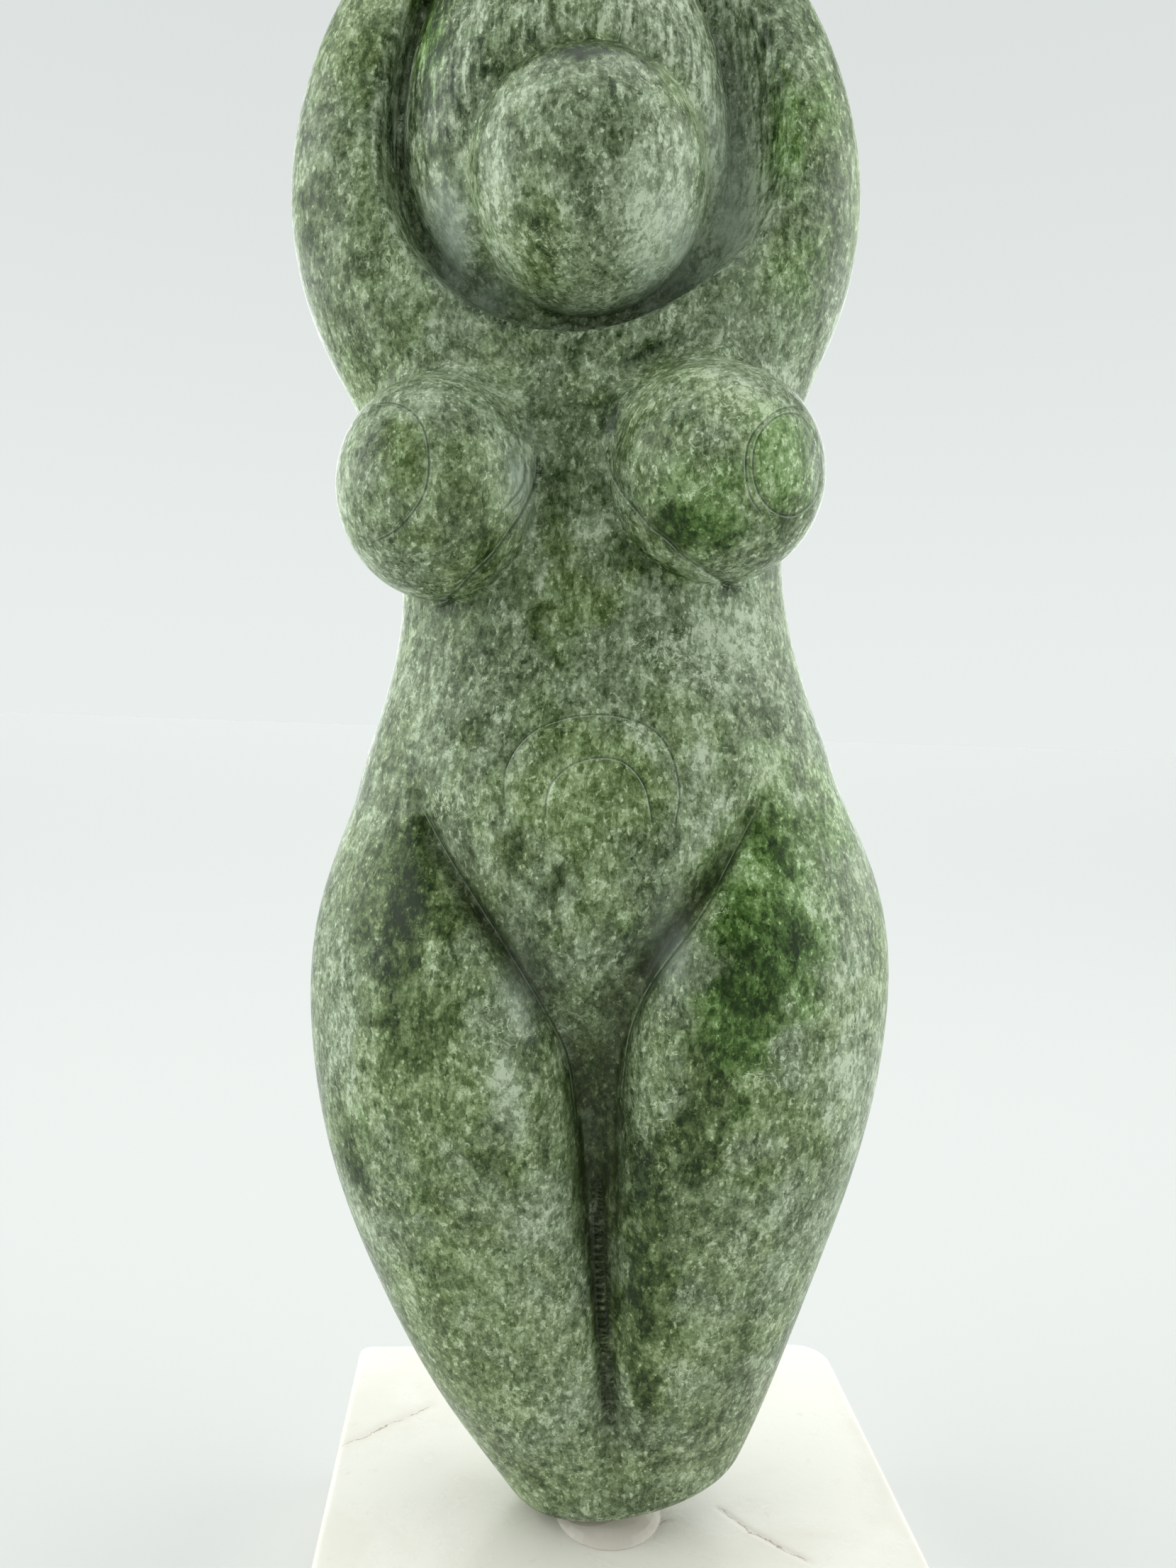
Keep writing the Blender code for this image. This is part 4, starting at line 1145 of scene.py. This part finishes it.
def cream_stone():
    """Polished cream stone with faint clouds and a few thin brown cracks."""
    made = Nodes(bpy.data.materials.new("cream_stone_polished"))
    clouds = made.noise(0.03, detail=6, distortion=0.5)
    colour = made.mix(made.steps(clouds, 0.40, 0.62), *CREAM_COLOURS)
    specks = made.noise(0.0022, roughness=0.7)
    colour = made.mix(made.steps(specks, 0.60, 0.74, 0.0, 0.35), colour, SPECK_COLOUR)
    broken = made.steps(made.noise(0.004), 0.36, 0.56)
    wander = made.times(made.sum(made.noise(0.003, roughness=0.7), -0.5), 0.0030)
    away = made.size(made.sum(made.attribute("crack_side"), wander))
    strength = made.attribute("crack_strength")
    colour = made.mix(made.times(made.steps(away, 0.0, 0.0022, 0.22, 0.0), strength), colour, STAIN_COLOUR)
    crack = made.times(made.steps(away, 0.00004, 0.00020, 0.75, 0.0), strength, broken)
    return made.shade({
        "Base Color": made.mix(crack, colour, CRACK_COLOUR),
        "Roughness": made.steps(clouds, 0.35, 0.65, 0.22, 0.34),
        "Normal": made.bump(made.noise(0.0015, detail=3), 0.00006, 0.5),
    })


def plain(name, **inputs):
    """A material whose values are the same everywhere."""
    return Nodes(bpy.data.materials.new(name)).shade(inputs)


def block_outline(inset):
    """The block's outline from above, this far inside its sides, as points that go round it."""
    half_x = (BLOCK_HIGH.x - BLOCK_LOW.x) / 2
    half_y = (BLOCK_HIGH.y - BLOCK_LOW.y) / 2
    middle_x = (BLOCK_HIGH.x + BLOCK_LOW.x) / 2
    middle_y = (BLOCK_HIGH.y + BLOCK_LOW.y) / 2
    points = []
    for k in range(BLOCK_SIDES * 4):
        corner, along = divmod(k, BLOCK_SIDES)
        turn = (along + 0.5) / BLOCK_SIDES * 2 - 1
        across = (1.0, turn)
        for _ in range(corner):
            across = (-across[1], across[0])
        sign = (1 if across[0] > 0 else -1, 1 if across[1] > 0 else -1)
        radius = CORNER_RADII[sign]
        x = abs(across[0]) * half_x
        y = abs(across[1]) * half_y
        over_x = max(x - (half_x - radius), 0.0)
        over_y = max(y - (half_y - radius), 0.0)
        over = math.hypot(over_x, over_y)
        if over_x > 0 and over_y > 0 and over > radius:
            x = half_x - radius + over_x * radius / over
            y = half_y - radius + over_y * radius / over
        scale = 1 - inset / half_x
        points.append((middle_x + sign[0] * x * scale, middle_y + sign[1] * y * scale))
    return np.array(points)


def block_profile(low, high):
    """The block from the middle of its underside round to the middle of its top, as (inset, height)."""
    half = (BLOCK_HIGH.x - BLOCK_LOW.x) / 2
    turns = np.linspace(0, math.pi / 2, BEVEL_PARTS)
    bevel = [(BLOCK_INSET + BEVEL * (1 - math.cos(turn)), BEVEL * (1 - math.sin(turn))) for turn in turns]
    profile = [(half * share, low) for share in UNDERSIDE_SHARES]
    profile += [(inset, low + drop) for inset, drop in bevel[::-1]]
    profile += [(BLOCK_INSET, low + (high - low) * share) for share in SIDE_SHARES]
    profile += [(inset, high - drop) for inset, drop in bevel]
    top = np.linspace(bevel[-1][0], half * TOP_END_SHARE, TOP_RINGS)[1:]
    return profile + [(inset, high) for inset in top]


def build_block():
    """The block, as rings of points round its profile."""
    high = BLOCK_HIGH.z - BLOCK_INSET
    profile = block_profile(BLOCK_LOW.z + BLOCK_INSET, high)
    around = BLOCK_SIDES * 4
    rings = [np.column_stack([block_outline(inset), np.full(around, z)]) for inset, z in profile]
    vertices = np.concatenate(rings)
    cracks = [np.array(points) / 1000 for points in CRACKS]
    side, strength = nearest_path(*vertices[:, :2].T, cracks, CRACK_REACH, CRACK_TAPER, CRACK_TAPER)
    strength = strength * (vertices[:, 2] > high - BEVEL)
    vertices[:, 2] -= CRACK_DEPTH * strength * hump(side, CRACK_HALF_WIDTH)
    faces = []
    for ring in range(len(profile) - 1):
        for k in range(around):
            start = ring * around + k
            after = ring * around + (k + 1) % around
            faces.append((start, after, after + around, start + around))
    faces.append(tuple(range(around))[::-1])
    faces.append(tuple(range(len(vertices) - around, len(vertices))))
    mesh = bpy.data.meshes.new("cream_block")
    mesh.from_pydata(vertices.tolist(), [], faces)
    carry(mesh, {"crack_side": side, "crack_strength": strength})
    mesh.shade_smooth()
    mesh.update()
    block = placed("cream_block", mesh)
    block.data.materials.append(cream_stone())
    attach(block, "root")
    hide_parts("stone_base_block")


def dress_bead():
    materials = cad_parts["clear_mounting_bead"].data.materials
    materials.clear()
    materials.append(plain("clear_gel_wet", **{"Base Color": GEL_COLOUR}, Roughness=0.06, Alpha=0.38))


def build_floor():
    size = FLOOR_HALF_SIZE
    mesh = bpy.data.meshes.new("studio_floor")
    corners = [(-size, -size, 0), (size, -size, 0), (size, size, 0), (-size, size, 0)]
    mesh.from_pydata(corners, [], [(0, 1, 2, 3)])
    floor = placed("studio_floor", mesh)
    floor.data.materials.append(plain("pale_floor", **{"Base Color": FLOOR_COLOUR}, Roughness=0.8))


def tent_world():
    """A bright tent that is open, and so darker, in front. It looks the same pale grey all round."""
    world = bpy.data.worlds.new("pale_tent")
    made = Nodes(world)
    x, y, z = made.add("ShaderNodeSeparateXYZ", {0: made.places["Generated"]}).outputs
    away = made.worked("MAXIMUM", y, made.size(x), made.times(z, TENT_TOP_SHARE))
    lighting = made.add("ShaderNodeBackground")
    shown = made.tree.nodes["Background"]
    for background, strength in (
        (lighting, made.steps(away, *TENT_RISE, TENT_FRONT, TENT_SIDES)),
        (shown, made.steps(z, *TENT_SHOWN_RISE, TENT_SHOWN_LOW, TENT_SHOWN_HIGH)),
    ):
        made.fill(background, {"Color": TENT_COLOUR, "Strength": strength})
    seen = made.add("ShaderNodeLightPath").outputs["Is Camera Ray"]
    mix = made.add("ShaderNodeMixShader", {0: seen, 1: lighting.outputs[0], 2: shown.outputs[0]})
    made.fill(made.tree.nodes["World Output"], {"Surface": mix.outputs[0]})
    bpy.context.scene.world = world


def light_scene():
    tent_world()
    for name, place, size, watts in LAMPS:
        data = bpy.data.lights.new(name, "AREA")
        data.shape = "RECTANGLE"
        data.size, data.size_y = size
        data.energy = watts
        lamp = placed(name, data)
        lamp.location = place
        lamp.rotation_euler = (Vector(LIGHT_AIM) - Vector(place)).to_track_quat("-Z", "Y").to_euler()
        lamp.visible_camera = False


def add_camera():
    yaw, pitch, roll = (math.radians(a) for a in (CAMERA_YAW_DEG, CAMERA_PITCH_DEG, CAMERA_ROLL_DEG))
    turned = Matrix.Rotation(-yaw, 4, "Z") @ Matrix.Rotation(math.pi / 2 - pitch, 4, "X")
    data = bpy.data.cameras.new("photo_camera")
    data.sensor_fit = "VERTICAL"
    data.sensor_height = SENSOR_MM
    data.lens = LENS_MM
    data.clip_start = 0.01
    camera = placed("photo_camera", data)
    place = Matrix.Translation((CAMERA_X, CAMERA_Y, BLOCK_TOP + CAMERA_ABOVE_BLOCK))
    camera.matrix_world = place @ turned @ Matrix.Rotation(roll, 4, "Z")
    bpy.context.scene.camera = camera


def main():
    add_camera()
    light_scene()
    build_floor()
    dress_bead()
    build_block()
    build_figure()
    bpy.context.scene.view_settings.view_transform = "Standard"


main()
